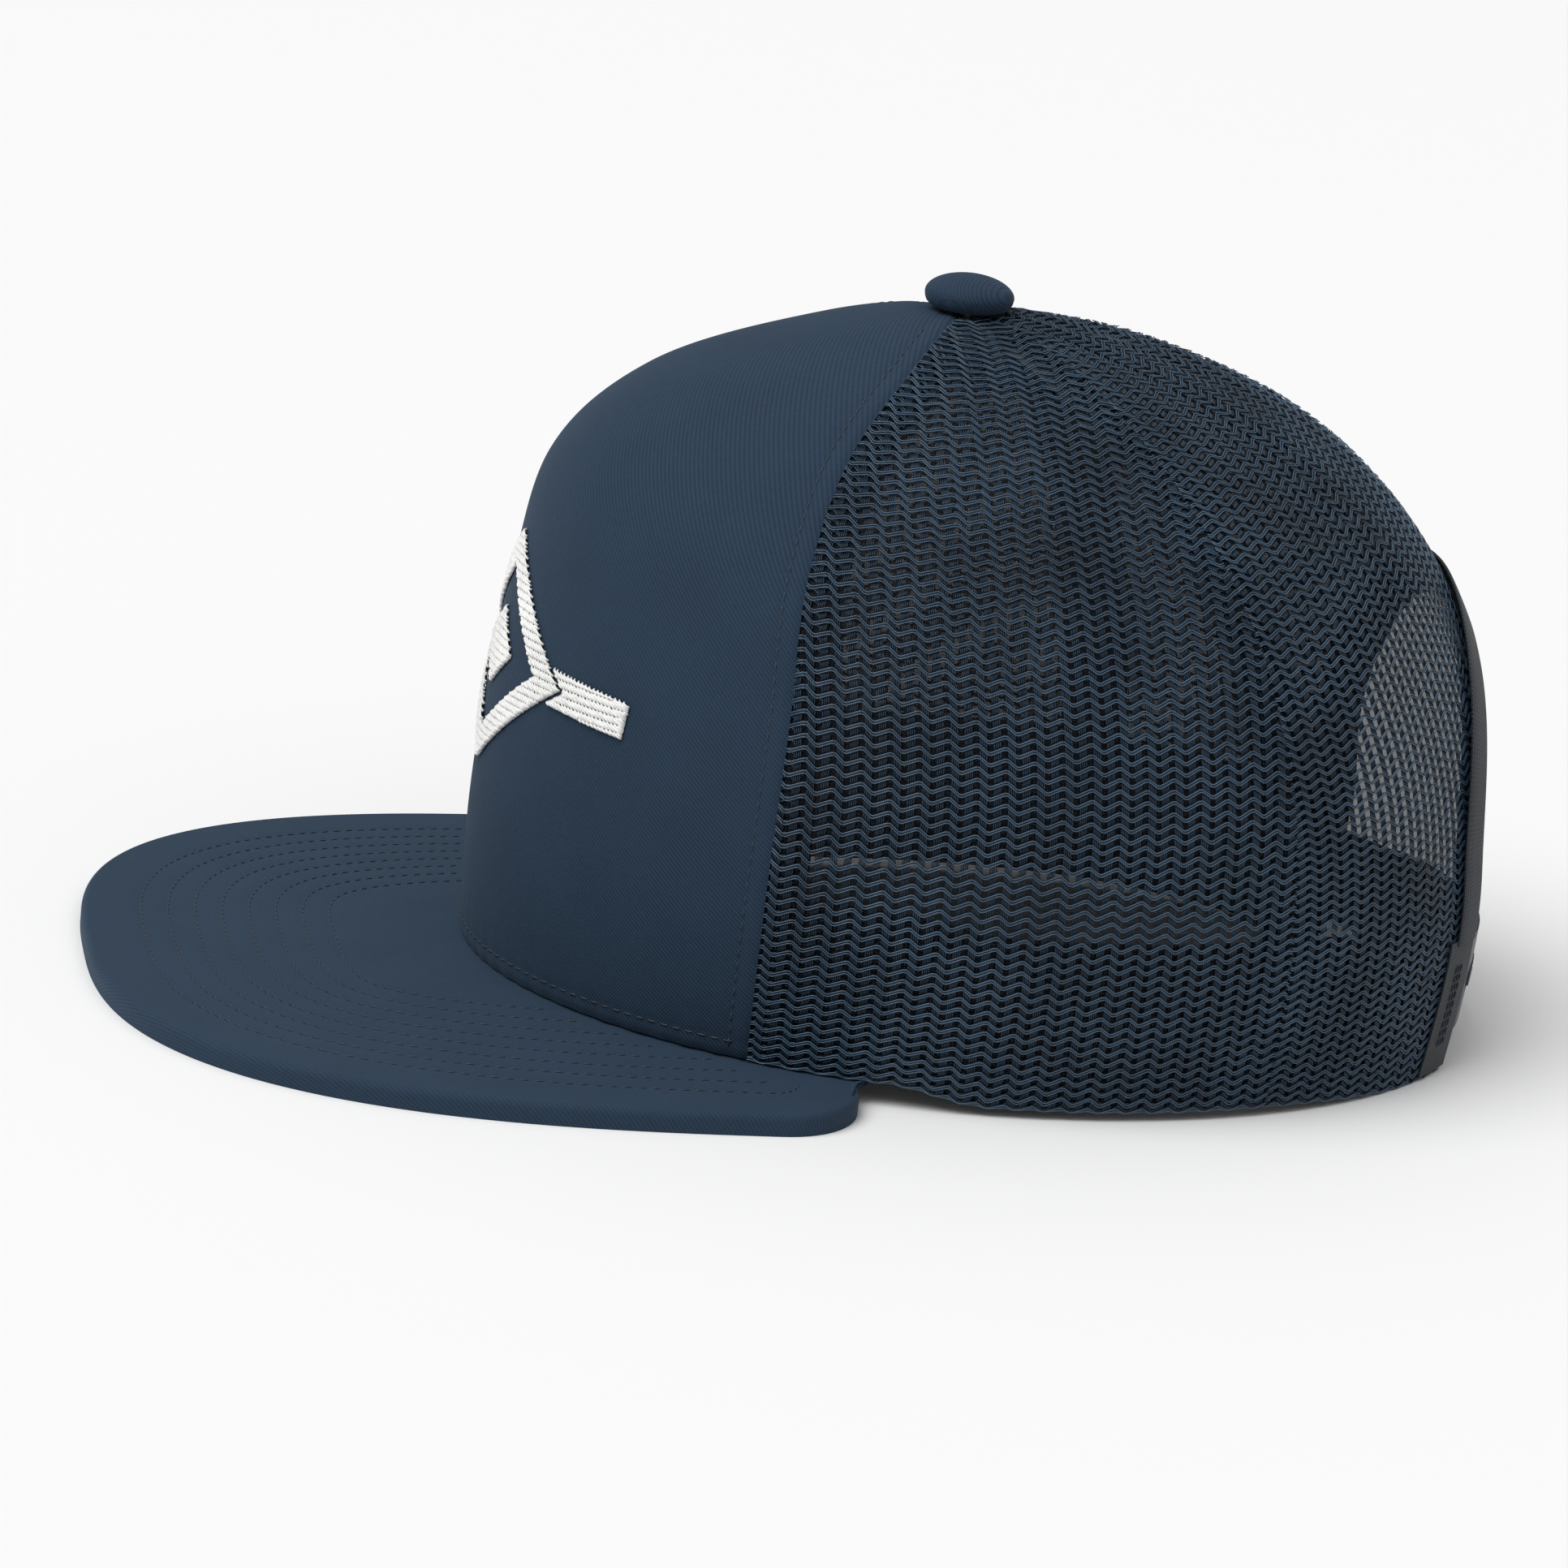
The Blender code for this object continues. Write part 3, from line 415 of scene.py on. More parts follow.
def dress(made, finish):
    made.data.materials.clear()
    made.data.materials.append(finish)


# %% [markdown]
# ### Finishing a piece
# A finished piece gets its finish, hides the engineered parts it stands for and joins the moving
# body it belongs to. A cloth piece also prints the size that it was cut to, measured here on its own
# grid: the widest row, the longest column and the area.

# %% Riding and flat sizes


def riding(made, slot, finish, *nodes, body="cap"):
    """Finishes a piece: its material, the nodes it stands for and its body. The slot is not used."""
    dress(made, finish)
    if nodes:
        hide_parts(*nodes)
    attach(made, body)
    return made


def declared(made, grid, width=None, length=None):
    """Prints the size a sheet of cloth was cut to. A width or length that is given is the tape or square it is
    cut from.
    """
    widest, longest, area = cloth_size(grid)
    width, length = width or widest, length or longest
    print(made.name, "cut", round(width / MM), "x", round(length / MM), "mm")
    return made


# %% [markdown]
# ### Cotton twill
# Twill is woven so that each weft thread passes over two warps and steps one aside, which draws
# fine diagonal ribs. Here they are 0.7 mm apart, as on the real cloth. Two waves, one along the
# ribs and one across them, make the bumps of single threads, and soft noise keeps them uneven.
# Cotton is matt, with a faint sheen from loose fibres at grazing angles.

# %% Twill
RIB_PITCH = 0.7 * MM
THREAD_PITCH = 0.5 * MM
WAVE = 0.31416  # a wave texture's scale is this over its wavelength in metres


def twill(name, light, dark, lean=math.radians(40), height=0.09 * MM):
    made, tree, shader = new_material(name, light, 0.86)
    shader.inputs["Sheen Weight"].default_value = 0.12
    shader.inputs["Sheen Roughness"].default_value = 0.5
    shader.inputs["Sheen Tint"].default_value = linear("#8fa6bd")
    shader.inputs["Specular IOR Level"].default_value = 0.25
    place = add(tree, "ShaderNodeUVMap", uv_map="cloth")
    turned = add(tree, "ShaderNodeMapping", {"Rotation": (0, 0, lean)}, {"Vector": place.outputs["UV"]})
    fuzz = add(tree, "ShaderNodeTexNoise", {"Scale": 900.0, "Detail": 3.0}, {"Vector": place.outputs["UV"]})
    rib = add(
        tree, "ShaderNodeTexWave",
        {"Scale": WAVE / RIB_PITCH, "Distortion": 0.6, "Detail": 2.0, "Detail Scale": 3.0},
        {"Vector": turned.outputs["Vector"]}, wave_type="BANDS", bands_direction="Y",
    )
    thread = add(
        tree, "ShaderNodeTexWave", {"Scale": WAVE / THREAD_PITCH, "Distortion": 0.8, "Detail Scale": 3.0},
        {"Vector": turned.outputs["Vector"]}, wave_type="BANDS", bands_direction="X",
    )
    both = {"A": rib.outputs["Fac"], "B": thread.outputs["Fac"]}
    woven = add(tree, "ShaderNodeMix", {"Factor": 0.32}, both, data_type="FLOAT")
    fuzzy = {"A": woven.outputs["Result"], "B": fuzz.outputs["Fac"]}
    rough = add(tree, "ShaderNodeMix", {"Factor": 0.3}, fuzzy, data_type="FLOAT")
    bump = add(
        tree, "ShaderNodeBump", {"Strength": 1.0, "Distance": height}, {"Height": rough.outputs["Result"]}
    )
    cloud = add(tree, "ShaderNodeTexNoise", {"Scale": 60.0, "Detail": 4.0}, {"Vector": place.outputs["UV"]})
    cloudy = {"A": rough.outputs["Result"], "B": cloud.outputs["Fac"]}
    mixed = add(tree, "ShaderNodeMix", {"Factor": 0.25}, cloudy, data_type="FLOAT")
    ramp = add(tree, "ShaderNodeValToRGB", None, {"Fac": mixed.outputs["Result"]})
    ramp.color_ramp.elements[0].position = 0.2
    ramp.color_ramp.elements[0].color = linear(dark)
    ramp.color_ramp.elements[1].position = 0.75
    ramp.color_ramp.elements[1].color = linear(light)
    tree.links.new(ramp.outputs["Color"], shader.inputs["Base Color"])
    tree.links.new(bump.outputs["Normal"], shader.inputs["Normal"])
    return made


NAVY_TWILL = twill("Navy cotton twill", "#263a4e", "#172636")
VISOR_TWILL = twill("Navy cotton twill, visor", "#283c50", "#1a2939", lean=math.radians(-35))
INNER_TWILL = twill("Navy cotton twill, sweatband", "#1d2833", "#121a23", lean=math.radians(50))

# %% [markdown]
# ### Threads, net, tape and plastic
# The net is knitted from polyester yarn and heat-set, so it is smoother than cotton and catches
# thin lights, and its ladders lie deeper. Its ribs are coloured lighter as a painted highlight and its
# ladders darker as painted shade, though both are the same yarn. Rayon embroidery thread is glossy.
# Tape, buckram and label ribbon are plain woven: a square pattern of two crossed waves. The snap strap is
# moulded polyethylene with a satin surface. Hidden metal is pressed and bright.

# %% Yarn and thread


def yarn(name, light, dark, roughness, twist, sheen):
    """Thread with a fine twist: Object coordinates, because threads are too thin to unwrap."""
    made, tree, shader = new_material(name, light, roughness)
    shader.inputs["Sheen Weight"].default_value = sheen
    shader.inputs["Sheen Roughness"].default_value = 0.4
    place = {"Vector": add(tree, "ShaderNodeTexCoord").outputs["Object"]}
    grain = add(tree, "ShaderNodeTexNoise", {"Scale": twist, "Detail": 2.0}, place)
    cloud = add(tree, "ShaderNodeTexNoise", {"Scale": 45.0, "Detail": 3.0}, place)
    both = {"A": grain.outputs["Fac"], "B": cloud.outputs["Fac"]}
    mixed = add(tree, "ShaderNodeMix", {"Factor": 0.5}, both, data_type="FLOAT")
    ramp = add(tree, "ShaderNodeValToRGB", None, {"Fac": mixed.outputs["Result"]})
    ramp.color_ramp.elements[0].position = 0.35
    ramp.color_ramp.elements[0].color = linear(dark)
    ramp.color_ramp.elements[1].position = 0.65
    ramp.color_ramp.elements[1].color = linear(light)
    height = {"Height": grain.outputs["Fac"]}
    bump = add(tree, "ShaderNodeBump", {"Strength": 0.6, "Distance": 0.05 * MM}, height)
    tree.links.new(ramp.outputs["Color"], shader.inputs["Base Color"])
    tree.links.new(bump.outputs["Normal"], shader.inputs["Normal"])
    return made


# Ribs lighter as a painted highlight, ladders darker as painted shade: both are the same yarn.
RIB_YARN_PAINTED_HIGHLIGHT = yarn("Navy polyester net yarn", "#436078", "#263a4d", 0.34, 2500.0, 0.05)
LADDER_YARN_PAINTED_SHADE = yarn("Navy polyester ladder yarn, painted shade", "#24384b", "#13202d", 0.42, 2500.0, 0.0)
# A dark see-through veil behind the net: painted shade for the cap's dim inside.
VEIL_MATERIAL_PAINTED_SHADE = new_material("Dark navy veil, painted shade", "#101923", 0.8, alpha=0.58)[0]
SEWING_THREAD = yarn("Navy polyester sewing thread", "#22313f", "#121c27", 0.5, 3000.0, 0.1)
EMBROIDERY = yarn("White rayon embroidery thread", "#f4f4f2", "#d9d9d6", 0.38, 2200.0, 0.2)


# %% Woven tape, buckram and satin


def plain_weave(name, light, dark, pitch, roughness, height):
    """Square over-and-under weave, from two crossed waves."""
    made, tree, shader = new_material(name, light, roughness)
    shader.inputs["Sheen Weight"].default_value = 0.1
    place = add(tree, "ShaderNodeUVMap", uv_map="cloth")
    waves = []
    for direction in ("X", "Y"):
        wave = add(
            tree, "ShaderNodeTexWave", {"Scale": WAVE / pitch, "Distortion": 0.4},
            {"Vector": place.outputs["UV"]}, wave_type="BANDS", bands_direction=direction,
        )
        waves.append(wave.outputs["Fac"])
    crossed = add(tree, "ShaderNodeMath", None, {0: waves[0], 1: waves[1]}, operation="MULTIPLY")
    raised = {"Height": crossed.outputs["Value"]}
    bump = add(tree, "ShaderNodeBump", {"Strength": 1.0, "Distance": height}, raised)
    ramp = add(tree, "ShaderNodeValToRGB", None, {"Fac": crossed.outputs["Value"]})
    ramp.color_ramp.elements[0].color = linear(dark)
    ramp.color_ramp.elements[1].position = 0.6
    ramp.color_ramp.elements[1].color = linear(light)
    tree.links.new(ramp.outputs["Color"], shader.inputs["Base Color"])
    tree.links.new(bump.outputs["Normal"], shader.inputs["Normal"])
    return made


# Navy tape, coloured darker still as painted shade.
TAPE_NAVY_AND_PAINTED_SHADE = plain_weave("Navy woven seam tape, darkened as painted shade", "#182431", "#0c131b", 0.8 * MM, 0.75, 0.12 * MM)
# Buckram coloured dark as painted shade for the cap's shaded inside.
BUCKRAM_PAINTED_SHADE = plain_weave("Buckram darkened as painted shade", "#24282d", "#101215", 0.9 * MM, 0.9, 0.2 * MM)
# Label ribbon coloured dark as painted shade, to sink into the shaded inside.
LABEL_SATIN_PAINTED_SHADE = plain_weave("Satin ribbon darkened as painted shade", "#2a2f36", "#1d2127", 0.35 * MM, 0.45, 0.04 * MM)


# %% Plastic, board and metal


def moulded(name, colour, roughness, grain, height, metallic=0.0):
    """A moulded or pressed surface with a fine uneven grain."""
    made, tree, shader = new_material(name, colour, roughness)
    shader.inputs["Metallic"].default_value = metallic
    place = {"Vector": add(tree, "ShaderNodeTexCoord").outputs["Object"]}
    noise = add(tree, "ShaderNodeTexNoise", {"Scale": grain, "Detail": 4.0}, place)
    spread = add(
        tree, "ShaderNodeMapRange", {"To Min": roughness * 0.85, "To Max": min(1.0, roughness * 1.2)},
        {"Value": noise.outputs["Fac"]},
    )
    raised = {"Height": noise.outputs["Fac"]}
    bump = add(tree, "ShaderNodeBump", {"Strength": 0.5, "Distance": height}, raised)
    tree.links.new(spread.outputs["Result"], shader.inputs["Roughness"])
    tree.links.new(bump.outputs["Normal"], shader.inputs["Normal"])
    return made


SNAP_PLASTIC = moulded("Moulded navy polyethylene", "#1b2937", 0.42, 1800.0, 0.02 * MM)
BOARD = moulded("White polyethylene board", "#d8d8d4", 0.5, 600.0, 0.03 * MM)
STEEL = moulded("Pressed nickel-plated steel", "#c4c4c2", 0.3, 900.0, 0.01 * MM, 1.0)
print(len(bpy.data.materials), "materials so far")

# %% [markdown]
# ## The front panel
# One piece of twill stiffened with buckram covers the brow. Its edges are turned under at the two
# seams, so the cloth rolls down into each seam, and the tension of the sewing leaves a faint
# hollow beside the topstitching. A fine grid on the crown's surface, sunk a little by those two
# effects, shows that better than any painted shade.

# %% Panel grids
PANEL_ROWS = 150
TOP_HOLE_RADIUS = 3 * MM


def top_share(angle):
    """The share at which a panel ends round the button's prong."""
    table = np.linspace(0.8, 1.0, 200)
    middle = np.array((0, CROWN_MIDDLE_Y - BUTTON_LEAN))
    away = np.linalg.norm(crown(angle, table)[:, :2] - middle, axis=1)
    return np.interp(-TOP_HOLE_RADIUS, -away, table)


def panel_places(first, last, columns, low=0.0, high=None, rows=PANEL_ROWS):
    """Angles and shares over a panel between two seams."""
    angles = np.linspace(first, last, columns + 1)
    top = np.array([top_share(a) for a in angles]) if high is None else np.full(columns + 1, high)
    share = np.linspace(0, 1, rows + 1)[:, None]
    return np.broadcast_to(angles, (rows + 1, columns + 1)), low + (top - low) * share


def seam_distance(angle, t, seam):
    """How far a place is from a seam, along the cloth."""
    across, _ = slopes(angle, t)
    return np.abs(angle - seam) * np.linalg.norm(across, axis=-1)


# %% Front panel
TWILL_THICKNESS = 0.8 * MM
TOPSTITCH_INSET = 3.8 * MM
VISOR_STITCH_HEIGHT = 3.2 * MM
SEAM_ROLL = 0.55 * MM
VISOR_SEAM_ROLL = 0.5 * MM
GROOVE_DEPTH = 0.16 * MM
GROOVE_WIDTH = 0.8 * MM
PUCKER_DEPTH, PUCKER_REACH, PUCKERS = 0.10 * MM, 5 * MM, 95


def hollow(away, depth):
    """How deep the cloth lies this far from a line that pulls it in."""
    return depth * np.exp(-((away / GROOVE_WIDTH) ** 2))


angles, shares = panel_places(-FRONT_SEAM, FRONT_SEAM, 170)
angles, shares = angles.copy(), shares.copy()
sink = np.zeros_like(shares)
for seam in (-FRONT_SEAM, FRONT_SEAM):
    away = seam_distance(angles, shares, seam)
    sink += hollow(away, SEAM_ROLL) + hollow(away - TOPSTITCH_INSET, GROOVE_DEPTH)
above_visor = (crown(angles, shares) - crown(angles, np.zeros_like(shares)))[..., 2]
sink += hollow(above_visor, VISOR_SEAM_ROLL) + hollow(above_visor - VISOR_STITCH_HEIGHT, GROOVE_DEPTH)
pucker = np.sin(angles * PUCKERS) * np.exp(-above_visor / PUCKER_REACH) * PUCKER_DEPTH
front_grid = under(angles, shares, sink + pucker)
front_panel = sheet("front_panel_cloth", front_grid, TWILL_THICKNESS)
riding(front_panel, "twill", NAVY_TWILL, "front_panel")
declared(front_panel, front_grid)

# %% [markdown]
# ## Topstitching
# Lockstitch shows as short dashes about 2 mm long that dip into the cloth at both ends. They are
# real geometry: each stitch is a low-sided tube, and one mesh holds a whole line of them.

# %% Stitch rows on the front panel


def at_distance(seam, t, distance):
    """The angle a given length along the cloth from a seam."""
    across, _ = slopes(np.full_like(t, seam), t)
    return seam + distance / np.linalg.norm(across, axis=-1)


line = np.linspace(0.004, 0.9, 400)
batches = []
for side in (-1, 1):
    seam_line = at_distance(side * FRONT_SEAM, line, -side * TOPSTITCH_INSET)
    batches.append(stitches(*crown_line(seam_line, line, GROOVE_DEPTH)))
brow = np.linspace(-FRONT_SEAM + 0.01, FRONT_SEAM - 0.01, 400)
brow_share = np.array([share_at_height(a, crown(a, 0.0)[2] + VISOR_STITCH_HEIGHT) for a in brow])
batches.append(stitches(*crown_line(brow, brow_share, GROOVE_DEPTH)))
riding(bundle("front_topstitching", batches), "tape", SEWING_THREAD)
print("front stitches", sum(len(b[0]) for b in batches))

# %% [markdown]
# ## The net
# Trucker net is warp-knitted: pairs of filaments run across in zigzags, and short ladders of
# upright filaments tie each zigzag to the next, halfway up every slope. Between them stay rounded
# six-sided holes in a brick pattern. A see-through texture would look flat from close by and lose
# the tiny lights on the yarn, so every filament is a thin tube. The lines follow the real cloth:
# the same spacing everywhere, cut off at the seams, not squeezed towards the button.
# Each panel is pulled a little flat between its seams, so the seams stand out as soft ridges.
# Behind the net lies one dark see-through sheet: painted shade that dims what shows through the holes.

# %% Net measures
NET_PERIOD = 5.4 * MM
NET_ROW = 2.1 * MM
ZIGZAG = 1.25 * MM
FILAMENT = 0.12 * MM
RIB_SPLIT = 0.26 * MM
BAR_SPREAD = 0.38 * MM
BAR_FILAMENTS = np.array([-1.5, -0.5, 0.5, 1.5])
BAR_DEPTH = 0.3 * MM
FLATTENING = 1.6 * MM
RIPPLE_DEPTH, RIPPLES = 0.25 * MM, 19
UNEVEN_RIBS, UNEVEN_BARS = 0.05 * MM, 0.06 * MM
SHORTEST_RUN = 0.8 * MM
END_ROOM = 0.2 * MM
ARCH_HALF_WIDTH = 40 * MM
ARCH_TOP = 88 * MM
ARCH_STRAIGHT = 44 * MM
ZIG_STOPS = np.array([-0.05, 0.06, 0.52, 0.64])
ZIG_RISE = np.array([0.03, 0.0, 0.97, 1.0])
BAR_STOPS = np.array([0.29, 0.80])


def net_sag(angle, t, first, last):
    """How far the net lies under the crown's surface: most between the seams, high up."""
    share = np.clip((angle - first) / (last - first), 0, 1)
    ripple = RIPPLE_DEPTH * np.sin(share * RIPPLES) * smooth_step(0.05, 0.4, t)
    sag = FLATTENING * smooth_step(0.12, 0.55, t) * (1 - smooth_step(0.84, 0.97, t)) + ripple
    return sag * np.sin(math.pi * share) ** 0.8


def arch_half_width(height):
    """Half the back opening's width at a height."""
    rise = np.clip((height - ARCH_STRAIGHT) / (ARCH_TOP - ARCH_STRAIGHT), 0, 1)
    return ARCH_HALF_WIDTH * np.sqrt(1 - rise**2)


def zigzag(u):
    """Height of the rib's zigzag at a distance along the cloth."""
    phase = (u / NET_PERIOD) % 1.0
    stops = np.concatenate([ZIG_STOPS, [ZIG_STOPS[0] + 1]])
    rise = np.concatenate([ZIG_RISE, [ZIG_RISE[0]]])
    phase = np.where(phase > stops[-1], phase - 1, phase)
    return (np.interp(phase, stops, rise) - 0.5) * ZIGZAG


# %% Net maker


class Panel:
    """A net panel's own measures: lengths along the cloth to angles and shares on the crown."""

    def __init__(self, first, last, open_back=False):
        self.first, self.last, self.open_back = first, last, open_back
        self.middle = (first + last) / 2
        self.t = np.linspace(0, 0.992, 300)
        line = crown(self.middle, self.t)
        self.v = np.concatenate([[0], np.cumsum(np.linalg.norm(np.diff(line, axis=0), axis=1))])
        self.rows = int(self.v[-1] / NET_ROW)

    def limits(self, t):
        """The seams, or the opening's edge, at a share."""
        first, last = self.first, self.last
        if self.open_back:
            height = crown(BACK_SEAM, t)[2]
            if height < ARCH_TOP:
                edge = angle_at_x(arch_half_width(height), t)
                if last > 0:
                    last = edge
                else:
                    first = -edge
        return first, last

    def row(self, v):
        """Share of a row, and tables of length along it against angle."""
        t = np.interp(v, self.v, self.t)
        first, last = self.limits(t)
        angles = np.linspace(first, last, 60)
        line = crown(angles, t)
        u = np.concatenate([[0], np.cumsum(np.linalg.norm(np.diff(line, axis=0), axis=1))])
        centre = np.interp(self.middle, angles, u)
        return t, angles, u - centre

    def place(self, u, v, depth, table):
        """Points for lengths u and v, given the row's table."""
        _, angles, lengths = table
        angle = np.interp(u, lengths, angles)
        t = np.interp(v, self.v, self.t)
        depth = depth + net_sag(angle, t, self.first, self.last)
        return under(angle, t, depth), outward(angle, t)


def net_layer(panel, rows, window, depth, shift):
    """Rib and ladder filaments over some of a panel's rows, inside windows of length along them."""
    ribs, backs, bars, bar_faces = [], [], [], []
    for r in rows:
        v = (r + shift) * NET_ROW
        table = panel.row(v)
        lengths = table[2]
        for low, high in window(lengths[0], lengths[-1]):
            if high - low < SHORTEST_RUN:
                continue
            count = np.arange(math.floor(low / NET_PERIOD) - 1, math.ceil(high / NET_PERIOD) + 2)
            u = ((count[:, None] + ZIG_STOPS) * NET_PERIOD).ravel() + shift * NET_PERIOD
            u = np.concatenate([[low], u[(u > low + END_ROOM) & (u < high - END_ROOM)], [high]])
            wave = zigzag(u - shift * NET_PERIOD)
            for half in (-1, 1):
                points, facing = panel.place(u, v + wave + half * RIB_SPLIT, depth, table)
                points += facing * (UNEVEN_RIBS * rng.standard_normal((len(u), 1)))
                ribs.append((points[None], facing[None], FILAMENT, FILAMENT * 0.95, 4))
            points, facing = panel.place(u, v + wave, depth + BAR_DEPTH, table)
            backs.append((points[None], facing[None], RIB_SPLIT, FILAMENT * 0.6, 3))
            b = ((count[:, None] + BAR_STOPS) * NET_PERIOD).ravel() + shift * NET_PERIOD
            b = b[(b > low + BAR_SPREAD) & (b < high - BAR_SPREAD)]
            lean = UNEVEN_BARS * rng.standard_normal(len(b))
            for k in BAR_FILAMENTS:
                ends, faces = [], []
                for level, offset in ((v, RIB_SPLIT), (v + NET_ROW, -RIB_SPLIT)):
                    x = b + k * BAR_SPREAD + lean * (1 if level == v else -1)
                    y = level + zigzag(x - shift * NET_PERIOD) + offset
                    points, facing = panel.place(x, y, depth + BAR_DEPTH, table)
                    ends.append(points)
                    faces.append(facing)
                bars.append(np.stack(ends, 1))
                bar_faces.append(np.stack(faces, 1))
    ladder = (np.concatenate(bars), np.concatenate(bar_faces), BAR_SPREAD * 0.48, FILAMENT, 3)
    return ribs, backs + [ladder]


# %% Four net panels
NET_OUTER_DEPTH = 0.2 * MM
NET_INNER_DEPTH = 0.75 * MM
LAYER_SHIFT = 0.45
# Depth and thickness of the dark see-through veil of painted shade behind the net.
SHADE_VEIL_DEPTH = 1.2 * MM
SHADE_VEIL_THICKNESS = 0.05 * MM
SEAM_ALLOWANCE = 5.5 * MM
HEM_ROWS = 3
BUNCHED_ROWS = 14


def whole_row(low, high):
    return [(low, high)]


def turned_in(low, high):
    """The strips beside the two seams, where the net is folded inward."""
    return [(low, min(low + SEAM_ALLOWANCE, high)), (max(high - SEAM_ALLOWANCE, low), high)]


def between(low, high):
    """What lies between those two strips."""
    return [(low + SEAM_ALLOWANCE, high - SEAM_ALLOWANCE)]


def painted_shade_veil(panel, name):
    """A dark see-through veil behind the net: painted shade that dims what shows through its holes."""
    t = np.linspace(0.0, 0.985, 90)
    limits = np.array([panel.limits(share) for share in t])
    angles = limits[:, :1] + (limits[:, 1:] - limits[:, :1]) * np.linspace(0, 1, 25)
    shares = np.broadcast_to(t[:, None], angles.shape)
    grid = under(angles, shares, SHADE_VEIL_DEPTH + net_sag(angles, shares, panel.first, panel.last))
    made = riding(sheet(name, grid, SHADE_VEIL_THICKNESS), "net", VEIL_MATERIAL_PAINTED_SHADE)
    declared(made, grid)


def net_panel(name, node, first, last, open_back=False):
    """The net itself, with a second layer where its edges are turned in or bunched."""
    panel = Panel(first, last, open_back)
    every = list(range(panel.rows))
    doubled = every[:HEM_ROWS] + every[-BUNCHED_ROWS:-1]
    layers = [
        net_layer(panel, every, whole_row, NET_OUTER_DEPTH, 0.0),
        net_layer(panel, every[:-1], turned_in, NET_INNER_DEPTH, LAYER_SHIFT),
        net_layer(panel, doubled, between, NET_INNER_DEPTH, LAYER_SHIFT),
    ]
    ribs = [batch for layer, _ in layers for batch in layer]
    ladders = [batch for _, layer in layers for batch in layer]
    made = bundle(name, ribs, ladders)
    # The ribs take the lighter yarn colour, a painted highlight; the ladders take the darker one, painted shade.
    for place, finish in zip(made.material_slots, (RIB_YARN_PAINTED_HIGHLIGHT, LADDER_YARN_PAINTED_SHADE)):
        place.material = finish
    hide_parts(node)
    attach(made, "cap")
    angles, shares = panel_places(first, last, 20, high=0.99, rows=40)
    width, length, area = cloth_size(crown(angles, shares))
    if open_back:
        area -= ARCH_HALF_WIDTH * (ARCH_STRAIGHT + (ARCH_TOP - ARCH_STRAIGHT) * math.pi / 4)
    # The dark veil of painted shade behind this panel's net.
    painted_shade_veil(panel, f"{name}_shade_sheet")
    made.data.calc_loop_triangles()
    print(name, len(made.data.loop_triangles), "triangles,", round(width / MM), "x", round(length / MM), "mm")


for side, word in ((1, "left"), (-1, "right")):
    ends = sorted((side * FRONT_SEAM, side * SIDE_SEAM))
    net_panel(f"side_net_mesh_{word}", f"side_net_{word}", *ends)
    ends = sorted((side * SIDE_SEAM, side * BACK_SEAM))
    net_panel(f"back_net_mesh_{word}", f"back_net_{word}", *ends, open_back=True)

# %% [markdown]
# ## Tapes and stiffener
# Inside, each seam is covered by a woven navy tape, darkened further as painted shade, and the front panel
# is backed with buckram coloured dark as painted shade. They are plain sheets at their own depths, each a
# little thinner than the engineered solid it stands for.

# %% Seam tapes
TAPE_WIDTH = 14 * MM
TAPE_THICKNESS = 0.6 * MM
NET_LINING_DEPTH = 1.5 * MM
STIFFENER_DEPTH = 1.1 * MM
INNER_TAPE_DEPTH = 2.1 * MM
TAPE_END = 0.9
HEM_SHARE = 0.004
TAPE_EASE = 0.05 * MM
ABOVE_ARCH = 10 * MM


def tape_grid(seam, first, last, depth, width=TAPE_WIDTH, columns=14, rows=120):
    """A tape's grid, centred along a seam between two shares."""
    t = np.linspace(first, last, rows + 1)
    across, _ = slopes(np.full_like(t, seam), t)
    spread = np.linspace(-0.5, 0.5, columns + 1) * width
    angle = seam + spread / np.linalg.norm(across, axis=-1)[:, None]
    return under(angle, t[:, None], depth + TAPE_EASE)


arch_share = share_at_height(BACK_SEAM, ARCH_TOP + ABOVE_ARCH)
tapes = [("back_seam_tape", BACK_SEAM, arch_share, NET_LINING_DEPTH)]
for side, word in ((1, "left"), (-1, "right")):
    tapes.append((f"front_seam_tape_{word}", side * FRONT_SEAM, HEM_SHARE, INNER_TAPE_DEPTH))
    tapes.append((f"side_seam_tape_{word}", side * SIDE_SEAM, HEM_SHARE, NET_LINING_DEPTH))
# The tapes' navy is partly their own colour and partly painted shade.
for name, seam, first, depth in tapes:
    grid = tape_grid(seam, first, TAPE_END, depth)
    made = riding(sheet(f"{name}_cloth", grid, TAPE_THICKNESS - 2 * TAPE_EASE), "tape", TAPE_NAVY_AND_PAINTED_SHADE, name)
    declared(made, grid)

# %% Front stiffener and visor seam tape
STIFFENER_THICKNESS = 0.65 * MM
STIFFENER_INSET = math.radians(0.5)
VISOR_TAPE_THICKNESS = 0.5 * MM
VISOR_TAPE_INSET = math.radians(7)

reach = FRONT_SEAM - STIFFENER_INSET
angles, shares = panel_places(-reach, reach, 60, low=0.01, high=0.83, rows=70)
grid = under(angles, shares, STIFFENER_DEPTH + 0.02 * MM)
stiffener = sheet("front_stiffener_cloth", grid, STIFFENER_THICKNESS)
